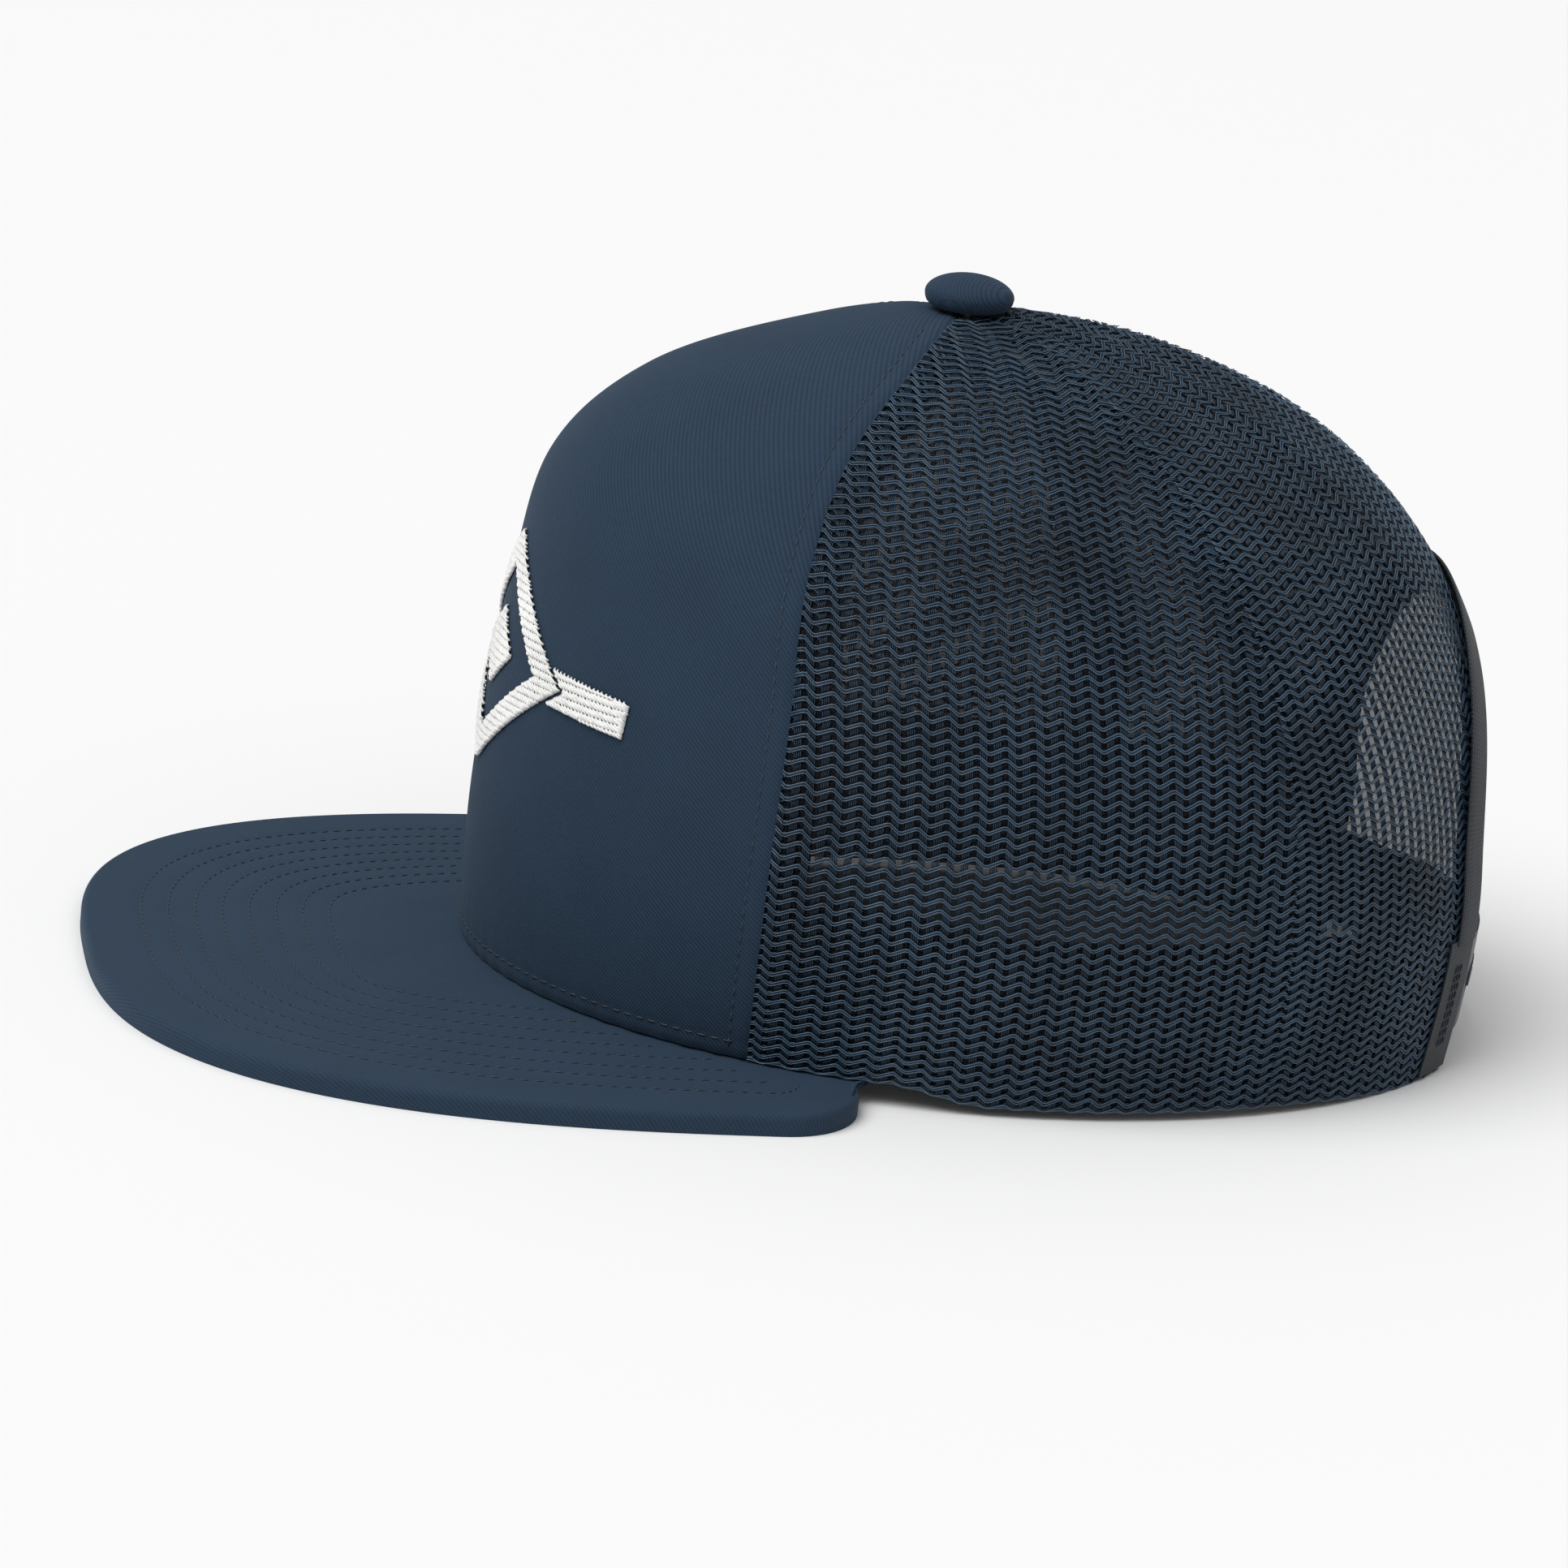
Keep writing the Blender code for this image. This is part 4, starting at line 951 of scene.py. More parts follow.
# The stiffener's dark colour is painted shade.
riding(stiffener, "buckram", BUCKRAM_PAINTED_SHADE, "front_stiffener")
declared(stiffener, grid)
reach = FRONT_SEAM - VISOR_TAPE_INSET
angles, shares = panel_places(-reach, reach, 80, low=HEM_SHARE, high=0.072, rows=6)
grid = under(angles, shares, INNER_TAPE_DEPTH + 0.03 * MM)
visor_tape = sheet("visor_seam_tape_cloth", grid, VISOR_TAPE_THICKNESS)
riding(visor_tape, "tape", TAPE_NAVY_AND_PAINTED_SHADE, "visor_seam_tape")
declared(visor_tape, grid)

# %% [markdown]
# ### Hem and crown patch
# The net's lower edge is bound with a narrow tape inside, and a round patch under the button covers
# the place where all the seams meet. Without them the raw ends of the filaments would show.

# %% Hem and crown patch
THIN_TAPE = 0.4 * MM
HEM_TAPE_WIDTH = 12 * MM
HEM_DEPTH = 1.35 * MM
PATCH_SIDE = 34 * MM
PATCH_FROM, PATCH_TO = 0.915, 0.957

net_ends = (FRONT_SEAM + math.radians(1), angle_at_x(ARCH_HALF_WIDTH + 1.5 * MM, 0.02))
for side, word in ((1, "left"), (-1, "right")):
    angles, shares = panel_places(side * net_ends[0], side * net_ends[1], 90, low=0.001, high=0.04, rows=8)
    grid = under(angles, shares, HEM_DEPTH)
    hem = riding(sheet(f"net_hem_{word}", grid, THIN_TAPE), "tape", TAPE_NAVY_AND_PAINTED_SHADE)
    declared(hem, grid, length=HEM_TAPE_WIDTH)
around = np.linspace(0, 2 * math.pi, 97)
shares = PATCH_FROM + (PATCH_TO - PATCH_FROM) * np.linspace(0, 1, 9)[:, None]
grid = under(around, shares, NET_LINING_DEPTH + 0.35 * MM)
patch = riding(sheet("crown_patch", grid, THIN_TAPE, closed=True), "tape", TAPE_NAVY_AND_PAINTED_SHADE)
declared(patch, grid, width=PATCH_SIDE, length=PATCH_SIDE)

# %% [markdown]
# ## The sweatband
# A doubled band of twill runs round the base against the forehead. It is folded at its top edge and
# sewn at the bottom. The fold makes a soft roll, and a row of stitches runs just under it.

# %% Sweatband
SWEATBAND_DEPTH = 3.0 * MM
SWEATBAND_THICKNESS = 2 * MM
SWEATBAND_HEIGHT = 33 * MM
SWEATBAND_EASE = 0.1 * MM
SWEATBAND_ROLL = 0.7 * MM
SWEATBAND_STITCH_DROP = 4 * MM
SWEATBAND_END = angle_at_x(ARCH_HALF_WIDTH + 4 * MM, 0.1)

columns, rows = 220, 24
angle_row = np.linspace(-SWEATBAND_END, SWEATBAND_END, columns + 1)
top_row = np.array([share_at_height(a, crown(a, 0.0)[2] + SWEATBAND_HEIGHT) for a in angle_row])
share = np.linspace(0, 1, rows + 1)[:, None]
angles = np.broadcast_to(angle_row, (rows + 1, columns + 1))
shares = HEM_SHARE + (top_row - HEM_SHARE) * share
grid = under(angles, shares, SWEATBAND_DEPTH + SWEATBAND_EASE)
sweatband = sheet("sweatband_cloth", grid, SWEATBAND_THICKNESS - 2 * SWEATBAND_EASE)
only(sweatband)
soft = sweatband.modifiers.new("Rolled edge", "BEVEL")
soft.width = SWEATBAND_ROLL
soft.segments = 3
soft.limit_method = "ANGLE"
soft.angle_limit = math.radians(60)
apply_all(sweatband)
riding(sweatband, "twill", INNER_TWILL, "sweatband")
declared(sweatband, grid)
stitch_rise = SWEATBAND_HEIGHT - SWEATBAND_STITCH_DROP
stitch_share = np.array([share_at_height(a, crown(a, 0.0)[2] + stitch_rise) for a in angle_row])
inner_face = SWEATBAND_DEPTH + SWEATBAND_THICKNESS - SWEATBAND_EASE
path = under(angle_row, stitch_share, inner_face)
batch = stitches(path, -outward(angle_row, stitch_share), pitch=STITCH_PITCH * 1.2)
riding(bundle("sweatband_stitching", [batch]), "tape", SEWING_THREAD)

# %% [markdown]
# ### Labels
# Two blank satin ribbons, for size and care, are sewn to the sweatband by their upper edge. Their
# lower ends curl a little away from it.

# %% Labels
LABEL_DEPTH = 5.3 * MM
LABEL_THICKNESS = 0.3 * MM
LABEL_CURL = 0.25 * MM
for name, middle, wide, bottom, top in (
    ("size_label", math.radians(128), 26 * MM, 8 * MM, 28 * MM),
    ("care_label", -math.radians(128), 30 * MM, 8 * MM, 30 * MM),
):
    t = np.array([share_at_height(middle, h) for h in np.linspace(bottom, top, 17)])
    across, _ = slopes(np.array([middle]), np.array([0.1]))
    spread = np.linspace(-0.5, 0.5, 21) * wide / np.linalg.norm(across)
    curl = LABEL_CURL * np.linspace(1, 0, 17)[:, None] ** 2
    grid = under(middle + spread[None], t[:, None], LABEL_DEPTH + 0.05 * MM + curl)
    # The labels' dark colour is painted shade.
    label = riding(sheet(f"{name}_ribbon", grid, LABEL_THICKNESS), "label", LABEL_SATIN_PAINTED_SHADE, name)
    declared(label, grid)
    facing = -outward(middle + spread, np.full(21, t[-2]))
    path = under(middle + spread, np.full(21, t[-2]), LABEL_DEPTH + 0.4 * MM)
    batch = stitches(path, facing, 1.6 * MM, 2.1 * MM, 0.14 * MM)
    riding(bundle(f"{name}_stitching", [batch]), "tape", SEWING_THREAD)

# %% [markdown]
# ## The bound opening
# The raw net round the back opening is wrapped in tape and sewn through. The binding is a U shape
# swept round the arch: two leaves joined by a rounded fold over the edge. It starts above the strap,
# and a flat strip on each side carries it down to the hem.

# %% Binding
BINDING_WIDTH = 8 * MM
BINDING_LEAF = 0.6 * MM
BINDING_START = 28 * MM
BINDING_SKIN = 0.35 * MM
BINDING_STITCH_INSET = 1.8 * MM
NET_THICKNESS = 1.2 * MM


def arch_path(straight, round_steps):
    """Places on the opening's edge from the left bottom over the top: x, height and their direction."""
    lows = np.linspace(BINDING_START, ARCH_STRAIGHT, straight, endpoint=False)
    turn = np.linspace(0, math.pi, round_steps)
    side = np.full(straight, ARCH_HALF_WIDTH)
    x = np.concatenate([side, ARCH_HALF_WIDTH * np.cos(turn), -side])
    rise = ARCH_STRAIGHT + (ARCH_TOP - ARCH_STRAIGHT) * np.sin(turn)
    z = np.concatenate([lows, rise, lows[::-1]])
    along = unit(np.stack([np.gradient(x), np.gradient(z)], -1))
    return x, z, along


def beside_arch(aside, depth, path):
    """Points this far outside the opening's edge, and the way the cloth faces there."""
    x, z, along = path
    t = np.array([share_at_height(BACK_SEAM, h) for h in z])
    angle = angle_at_x(x, t)
    across, up = slopes(angle, t)
    angle = angle - along[:, 1] * aside / np.linalg.norm(across, axis=-1)
    t = t - along[:, 0] * aside / np.linalg.norm(up, axis=-1)
    return under(angle, t, depth), outward(angle, t)


edge_path = arch_path(14, 90)
fold = BINDING_LEAF + 2 * GAP
turns = np.linspace(math.pi / 2, -math.pi / 2, 11)
section = [(BINDING_WIDTH, -BINDING_SKIN + 0.15 * MM)]
for aside in (BINDING_WIDTH - 0.4 * MM, BINDING_WIDTH * 0.6, BINDING_WIDTH * 0.3, 1 * MM):
    section.append((aside, -BINDING_SKIN))
half = NET_THICKNESS / 2 + BINDING_SKIN
section += [(-fold * math.cos(a), NET_THICKNESS / 2 - half * math.sin(a)) for a in turns]
section += [(aside, NET_THICKNESS - depth) for aside, depth in section[4::-1]]
grid = np.stack([beside_arch(aside, depth, edge_path)[0] for aside, depth in section], axis=1)
in_the_arch = (0, CROWN_MIDDLE_Y + CROWN_BACK, 0.06)
binding = sheet("arch_binding_cloth", grid, THIN_TAPE, away_from=in_the_arch)
riding(binding, "tape", TAPE_NAVY_AND_PAINTED_SHADE, "arch_binding")
declared(binding, grid)
for side, word in ((1, "left"), (-1, "right")):
    heights = np.linspace(1 * MM, BINDING_START + 1 * MM, 24)
    t = share_at_height(BACK_SEAM, heights)
    aside = ARCH_HALF_WIDTH + np.linspace(-0.6, BINDING_WIDTH / MM, 12) * MM
    angles = side * angle_at_x(aside[None], t[:, None])
    grid = under(angles, np.broadcast_to(t[:, None], angles.shape), -BINDING_SKIN + 0.02 * MM)
    foot = riding(sheet(f"arch_binding_foot_{word}", grid, THIN_TAPE), "tape", TAPE_NAVY_AND_PAINTED_SHADE)
    declared(foot, grid, width=HEM_TAPE_WIDTH)

# %% Binding stitches
outer_face = BINDING_SKIN + 0.02 * MM
batches = []
for depth, flip in ((-outer_face, 1), (NET_THICKNESS + outer_face, -1)):
    path, facing = beside_arch(BINDING_WIDTH - BINDING_STITCH_INSET, depth, edge_path)
    batches.append(stitches(path, facing * flip))
riding(bundle("arch_binding_stitching", batches), "tape", SEWING_THREAD)

# %% [markdown]
# ## The visor
# A polyethylene board is covered above and below with twill. Eight rows of stitching run parallel
# to its front edge through all three layers and draw shallow grooves in the cloth. The upper cloth
# is turned down over the board's edge, which makes the rounded rim.

# %% Visor outline and surface
VISOR_REACH = 73.5 * MM
VISOR_HALF_WIDTH = 89 * MM
VISOR_CORNER_Y = -56 * MM
VISOR_CORNER_RADIUS = 17 * MM
VISOR_SQUARENESS = 2.7
VISOR_FLAT_SHARE = 0.79
VISOR_ROOT_DEPTH = 2.7 * MM
COVER_THICKNESS = 0.7 * MM


def visor_outline(count):
    """Points of the outer edge, evenly spaced from the right rear corner to the left one."""
    turn = np.linspace(-math.pi / 2, math.pi / 2, 481)
    side, ahead = np.sin(turn), np.cos(turn)
    x = VISOR_HALF_WIDTH * np.sign(side) * np.abs(side) ** (2 / VISOR_SQUARENESS)
    reach = CROWN_FRONT + VISOR_REACH + VISOR_CORNER_Y
    y = VISOR_CORNER_Y - reach * np.abs(ahead) ** (2 / VISOR_SQUARENESS)
    bend = np.linspace(0, math.pi / 2, 17)[1:]
    corner_x = VISOR_HALF_WIDTH - VISOR_CORNER_RADIUS * (1 - np.cos(bend))
    corner_y = VISOR_CORNER_Y + VISOR_CORNER_RADIUS * np.sin(bend)
    x = np.concatenate([-corner_x[::-1], x, corner_x])
    y = np.concatenate([corner_y[::-1], y, corner_y])
    along = np.concatenate([[0], np.cumsum(np.hypot(np.diff(x), np.diff(y)))])
    wanted = np.linspace(0, along[-1], count)
    return np.stack([np.interp(wanted, along, x), np.interp(wanted, along, y) + CROWN_MIDDLE_Y], -1)


def inward_of(outline):
    """The level direction into the visor along its outline."""
    along = unit(np.gradient(outline, axis=0))
    return np.stack([-along[:, 1], along[:, 0]], -1)


def visor_grid(lift, inset, across, steps, root_inset=0.0, end_inset=0.0):
    """A grid over the visor from the crown out to a distance in from its edge."""
    outline = visor_outline(across + 1)
    edge = outline + inward_of(outline) * inset
    angle = (VISOR_END - end_inset) * np.linspace(-1, 1, across + 1)
    root = under(angle, np.zeros(across + 1), VISOR_ROOT_DEPTH - root_inset)
    share = np.linspace(0, 1, steps + 1)[:, None]
    x = root[:, 0] + (edge[:, 0] - root[:, 0]) * share
    y = root[:, 1] + (edge[:, 1] - root[:, 1]) * share
    rise = VISOR_ARCH * np.cos(angle) ** 2 * np.maximum(0, 1 - share / VISOR_FLAT_SHARE) ** 1.5
    return np.stack([x, y, lift + rise], -1)


VISOR_ROWS = 8
FIRST_ROW = 11.5 * MM
ROW_SPACING = 5.3 * MM
row_distances = FIRST_ROW + ROW_SPACING * np.arange(VISOR_ROWS)
ROW_GROOVE_WIDTH = 0.9 * MM
dense_edge = visor_outline(900)


def edge_distance(points):
    """Distance of points from the visor's outline, seen from above. In shares, to spare memory."""
    flat = points[..., :2].reshape(-1, 2)
    nearest = []
    for some in np.array_split(flat, 40):
        nearest.append(np.sqrt(((some[:, None] - dense_edge[None]) ** 2).sum(-1)).min(1))
    return np.concatenate(nearest).reshape(points.shape[:-1])


def grooves(points, depth):
    """How far stitching pulls the cloth in, from the distance to each row."""
    away = edge_distance(points)
    return depth * np.exp(-(((away[..., None] - row_distances) / ROW_GROOVE_WIDTH) ** 2)).sum(-1)


print("visor rows", [round(v / MM, 1) for v in row_distances], "mm in from the edge")

# %% Visor cloths
ACROSS, STEPS = 260, 96
RIM_WIDTH, RIM_DROP = 1.2 * MM, 1.6 * MM
UNDER_INSET = COVER_THICKNESS + 1.5 * GAP
UNDER_END_INSET = math.radians(2)

top_grid = visor_grid(VISOR_THICKNESS, RIM_WIDTH, ACROSS, STEPS)
top_grid[..., 2] -= grooves(top_grid, GROOVE_DEPTH)
rim = visor_outline(ACROSS + 1)
crest = top_grid[-1]
turned_rows = []
for turn in np.linspace(0, math.pi / 2, 8)[1:]:
    out = rim - crest[:, :2]
    row = crest.copy()
    row[:, :2] += out * math.sin(turn)
    row[:, 2] -= RIM_DROP * (1 - math.cos(turn))
    turned_rows.append(row)
widest = turned_rows[-1]
for share in (0.4, 0.75, 1.0):
    row = widest.copy()
    row[:, 2] = widest[:, 2] * (1 - share) + 0.02 * MM * share
    turned_rows.append(row)
whole = np.concatenate([top_grid, np.stack(turned_rows)])
turned_length = np.cumsum(np.linalg.norm(np.diff(whole[STEPS:], axis=0), axis=-1), axis=0)[..., None]
turned_flat = crest[:, :2] + unit(rim - crest[:, :2]) * turned_length
top_flat = np.concatenate([top_grid[..., :2], turned_flat])
below = (0, CROWN_MIDDLE_Y - 130 * MM, -20 * MM)
visor_top = sheet("visor_top_cloth", whole, COVER_THICKNESS - 0.1 * MM, away_from=below, flat=top_flat)
riding(visor_top, "twill", VISOR_TWILL, "visor_top_cover")
declared(visor_top, whole)

under_grid = visor_grid(COVER_THICKNESS, UNDER_INSET, ACROSS, STEPS // 2, 1 * MM, UNDER_END_INSET)
far_below = (0, CROWN_MIDDLE_Y - 130 * MM, -200 * MM)
visor_under = sheet(
    "visor_under_cloth", under_grid, COVER_THICKNESS - 0.05 * MM, away_from=far_below, flat=under_grid[..., :2]
)
riding(visor_under, "twill", VISOR_TWILL, "visor_under_cover")
declared(visor_under, under_grid)

# %% [markdown]
# ### Visor stitching
# Each row is the outline moved in by the row's distance. Its height is found by dropping a ray on the
# cloth. Where a row would run under the crown, or fold over itself at a rear corner, it is left out.

# %% Visor stitching
VISOR_STITCH_LENGTH, VISOR_STITCH_PITCH, VISOR_STITCH_PROUD = 2.1 * MM, 2.7 * MM, 0.1 * MM
CROWN_MARGIN = 1.03
RAY_HEIGHT = 50 * MM
SHORTEST_ROW = 6

visor_tree = BVHTree.FromPolygons(top_grid.reshape(-1, 3).tolist(), grid_faces(top_grid).tolist())


def visor_height(x, y):
    hit = visor_tree.ray_cast(Vector((x, y, RAY_HEIGHT)), Vector((0, 0, -1)))[0]
    return hit.z if hit else None


batches = []
for distance in row_distances:
    line = dense_edge + inward_of(dense_edge) * distance
    side = line[:, 0] / CROWN_HALF_WIDTH
    ahead = (line[:, 1] - CROWN_MIDDLE_Y) / CROWN_FRONT
    clear = (side**2 + ahead**2 > CROWN_MARGIN) & (edge_distance(line) > distance - 0.2 * MM)
    level = [visor_height(*p) if ok else None for p, ok in zip(line, clear)]
    keep = np.array([h is not None for h in level])
    row = np.array([(x, y, h) for (x, y), h in zip(line, level) if h is not None])
    parts = np.split(row, np.nonzero(np.diff(np.nonzero(keep)[0]) > 1)[0] + 1)
    for part in parts:
        if len(part) > SHORTEST_ROW:
            up = np.tile((0.0, 0.0, 1.0), (len(part), 1))
            batches.append(stitches(part, up, VISOR_STITCH_LENGTH, VISOR_STITCH_PITCH, proud=VISOR_STITCH_PROUD))
batches = [b for b in batches if b is not None]
riding(bundle("visor_stitching", batches), "tape", SEWING_THREAD)
print("visor stitches", sum(len(b[0]) for b in batches))

# %% [markdown]
# ## The button
# A disc of twill is gathered round a domed steel shell and pressed on to a tack from inside. The
# cloth is a turned profile, and gathers make its rim slightly wavy where it tucks under.

# %% Button cloth
BUTTON_RADIUS = 8.7 * MM
BUTTON_HEIGHT = 6.5 * MM
BUTTON_WAIST = 2.4 * MM
BUTTON_CLOTH = 0.7 * MM
GATHERS, GATHER_DEPTH, GATHER_REACH = 18, 0.12 * MM, 1.3 * MM
button_low, button_high = (Vector(c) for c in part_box("button_cover"))
seat = Vector(((button_low.x + button_high.x) / 2, (button_low.y + button_high.y) / 2, button_low.z))
turn = np.linspace(0, math.pi / 2, 22)[:-1]
tuck = np.array([(2.2, -0.9), (4.5, -0.5), (6.3, -0.3), (7.5, 0.05), (8.2, 0.7), (8.55, 1.5)]) * MM
radius = np.concatenate([tuck[:, 0], BUTTON_RADIUS * np.cos(turn), [0.02 * MM]])
dome = BUTTON_WAIST + (BUTTON_HEIGHT - BUTTON_WAIST) * np.sin(turn)
height = np.concatenate([tuck[:, 1], dome, [BUTTON_HEIGHT]])[:, None]
around = np.linspace(0, 2 * math.pi, 97)
gather = np.exp(-np.abs(height) / GATHER_REACH) * GATHER_DEPTH * (np.cos(around * GATHERS) - 1)
reach = radius[:, None] + gather
level = np.broadcast_to(height + seat.z, reach.shape)
grid = np.stack([reach * np.cos(around) + seat.x, reach * np.sin(around) + seat.y, level], -1)
inside = (seat.x, seat.y, seat.z + 2 * MM)
button = sheet("button_cloth", grid, BUTTON_CLOTH, away_from=inside, closed=True)
layer = button.data.uv_layers["cloth"].data
for loop in button.data.loops:
    point = button.data.vertices[loop.vertex_index].co
    layer[loop.index].uv = (point.x - seat.x, point.y - seat.y + (point.z - seat.z) * 0.8)
riding(button, "twill", NAVY_TWILL, "button_cover")
print("button", round(2 * BUTTON_RADIUS / MM, 1), "mm across, on a seat at", round(seat.z / MM, 1), "mm")

# %% [markdown]
# ## The snap strap
# Two moulded straps leave the cap on either side of the opening. One has holes, the other pegs,
# and they overlap in the middle. Each strap and its sewn end are one piece.

# %% Strap shape
STRAP_BOTTOM, STRAP_TOP = 5 * MM, 25 * MM
STRAP_THICKNESS = 1.2 * MM
PEG_STRAP_DEPTH = NET_LINING_DEPTH + STRAP_THICKNESS + GAP
STRAP_ROOT = ARCH_HALF_WIDTH - 1 * MM
STRAP_TAIL = 16 * MM
SNAP_COUNT, SNAP_PITCH = 7, 9 * MM
SNAP_RADIUS = 2.3 * MM
SNAP_CLEARANCE = 0.5 * MM
PAST_LAST_SNAP = 6.5 * MM
STRAP_REACH = (SNAP_COUNT - 1) / 2 * SNAP_PITCH + PAST_LAST_SNAP
TIP_SHARE = 0.98


def strap_grid(side, depth_at):
    """A strap from its sewn end to its round tip, along the crown's lower back."""
    half, middle = (STRAP_TOP - STRAP_BOTTOM) / 2, (STRAP_TOP + STRAP_BOTTOM) / 2
    tip = -STRAP_REACH
    round_part = tip + half * TIP_SHARE * (1 - np.sin(np.linspace(0, math.pi / 2, 15)))
    straight = np.linspace(STRAP_ROOT + STRAP_TAIL, tip + half + 0.3 * MM, 90)
    stops = np.concatenate([straight, round_part])
    beyond = np.clip((tip + half * TIP_SHARE - stops) / half, 0, 1)
    tall = half * np.sqrt(1 - beyond**2)
    rows = []
    for share in np.linspace(-1, 1, 13):
        t = np.array([share_at_height(BACK_SEAM, h) for h in middle + tall * share])
        rows.append(under(side * angle_at_x(stops, t), t, depth_at(stops)))
    return np.stack(rows)


def snap_studs(name, radius, inward, outward_reach, depth, rounded):
    """Short round studs at the snaps, as one object."""
    t = share_at_height(BACK_SEAM, (STRAP_TOP + STRAP_BOTTOM) / 2)
    shape = bmesh.new()
    for k in range(SNAP_COUNT):
        angle = angle_at_x((k - (SNAP_COUNT - 1) / 2) * SNAP_PITCH, t)
        out = Vector(outward(angle, t))
        centre = Vector(under(angle, t, depth))
        matrix = out.to_track_quat("Z", "Y").to_matrix().to_4x4()
        matrix.translation = centre + out * (outward_reach - inward) / 2
        bmesh.ops.create_cone(
            shape, cap_ends=True, segments=32, radius1=radius, radius2=radius * rounded,
            depth=inward + outward_reach, matrix=matrix,
        )
    mesh = bpy.data.meshes.new(name)
    shape.to_mesh(mesh)
    shape.free()
    return add_object(name, mesh)


def boolean(made, other, operation):
    step = made.modifiers.new(operation, "BOOLEAN")
    step.operation = operation
    step.object = other
    apply_all(made)
    bpy.data.objects.remove(other, do_unlink=True)


# %% Both straps
SOFT_EDGE = 0.18 * MM


def soften(made, width):
    only(made)
    edge = made.modifiers.new("Soft edge", "BEVEL")
    edge.width = width
    edge.segments = 2
    edge.limit_method = "ANGLE"
    edge.angle_limit = math.radians(50)
    apply_all(made)
    bpy.ops.object.shade_smooth_by_angle(angle=math.radians(40))


def strap(name, side, nodes, depth_at, studs, operation):
    """A strap with its snaps and softened edges, one piece with its sewn end."""
    made = sheet(name, strap_grid(side, depth_at), STRAP_THICKNESS - 0.04 * MM)
    boolean(made, studs, operation)
    soften(made, SOFT_EDGE)
    dress(made, SNAP_PLASTIC)
    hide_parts(*nodes)
    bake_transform(made)


def hole_depth(x):
    return np.full_like(x, NET_LINING_DEPTH)


def peg_depth(x):
    """The peg strap leaves its end at the hole strap's depth and steps in behind it."""
    shift = smooth_step(-STRAP_ROOT, -STRAP_REACH - 1 * MM, -x)
    return NET_LINING_DEPTH + (PEG_STRAP_DEPTH - NET_LINING_DEPTH) * shift


hole_studs = snap_studs("hole_cutters", SNAP_RADIUS + SNAP_CLEARANCE, 3 * MM, 3 * MM, NET_LINING_DEPTH, 1.0)
hole_nodes = ("hole_strap", "strap_tab_left")
strap("hole_strap_moulded", 1, hole_nodes, hole_depth, hole_studs, "DIFFERENCE")
peg_studs = snap_studs("peg_studs", SNAP_RADIUS, 0.6 * MM, 1.9 * MM, PEG_STRAP_DEPTH, 0.86)
peg_nodes = ("peg_strap", "strap_tab_right")
strap("peg_strap_moulded", -1, peg_nodes, peg_depth, peg_studs, "UNION")

# %% [markdown]
# ### Tacking
# Three short upright rows of heavy stitches on each side go through binding, net and strap end.

# %% Tacking over the strap ends
TACK_INSET, TACK_SPACING, TACK_MARGIN = 4.2 * MM, 0.9 * MM, 0.6 * MM
TACK_STITCH, TACK_PITCH, TACK_RADIUS, TACK_DIVE = 1.7 * MM, 1.9 * MM, 0.22 * MM, 0.3 * MM
TACK_PROUD = 0.4 * MM

for side, word in ((1, "left"), (-1, "right")):
    batches = []
    for column in range(3):
        heights = np.linspace(STRAP_BOTTOM + TACK_MARGIN, STRAP_TOP - TACK_MARGIN, 60)
        t = share_at_height(BACK_SEAM, heights)
        angle = side * angle_at_x(STRAP_ROOT + TACK_INSET + column * TACK_SPACING, t)
        path, facing = crown_line(angle, t, -TACK_PROUD)
        batches.append(stitches(path, facing, TACK_STITCH, TACK_PITCH, TACK_RADIUS, dive=TACK_DIVE))
    riding(bundle(f"strap_tack_stitches_{word}", batches), "tape", SEWING_THREAD, f"strap_tack_{word}")

# %% [markdown]
# ## The emblem
# The front carries raised white machine embroidery: an outlined diamond between two bars, with a
# small solid diamond inside. It is filled with rows of stitches laid side by side, each about 3 mm
# long and starting in a different place from its neighbours, as a fill stitch is sewn.

# %% Emblem outlines
EMBLEM_HEIGHT = 66 * MM
DIAMOND_HALF_WIDTH, DIAMOND_HALF_HEIGHT, DIAMOND_STROKE = 30 * MM, 23 * MM, 8.5 * MM
BAR_HALF_SPAN, BAR_HALF_HEIGHT, BAR_GAP = 47 * MM, 3.5 * MM, 1.5 * MM
CENTRE_HALF_WIDTH = 10 * MM
SLANT = DIAMOND_HALF_WIDTH / DIAMOND_HALF_HEIGHT


def in_diamond(x, z, half_width):
    return np.abs(x) + np.abs(z) * SLANT <= half_width


def in_frame(x, z):
    return in_diamond(x, z, DIAMOND_HALF_WIDTH) & ~in_diamond(x, z, DIAMOND_HALF_WIDTH - DIAMOND_STROKE)


SHAPES = {
    "emblem_frame": in_frame,
    "emblem_centre": lambda x, z: in_diamond(x, z, CENTRE_HALF_WIDTH),
}
for side, word in ((1, "left"), (-1, "right")):
    SHAPES[f"emblem_bar_{word}"] = lambda x, z, side=side: (
        (np.abs(z) <= BAR_HALF_HEIGHT)
        & (side * x <= BAR_HALF_SPAN)
        & (side * x >= DIAMOND_HALF_WIDTH + BAR_GAP - SLANT * np.abs(z))
    )

# %% Fill stitches
FILL_PITCH = 0.42 * MM
FILL_STITCH = 3.2 * MM
FILL_LEAN = math.radians(-24)
FILL_PHASES = 4
FILL_HALF_WIDTH, FILL_HALF_DEPTH = 0.25 * MM, 0.22 * MM
SHORTEST_FILL, SHORTEST_END = 0.5 * MM, 0.7 * MM
EMBLEM_PROUD = 0.75 * MM
EMBLEM_UNEVEN = 0.05 * MM


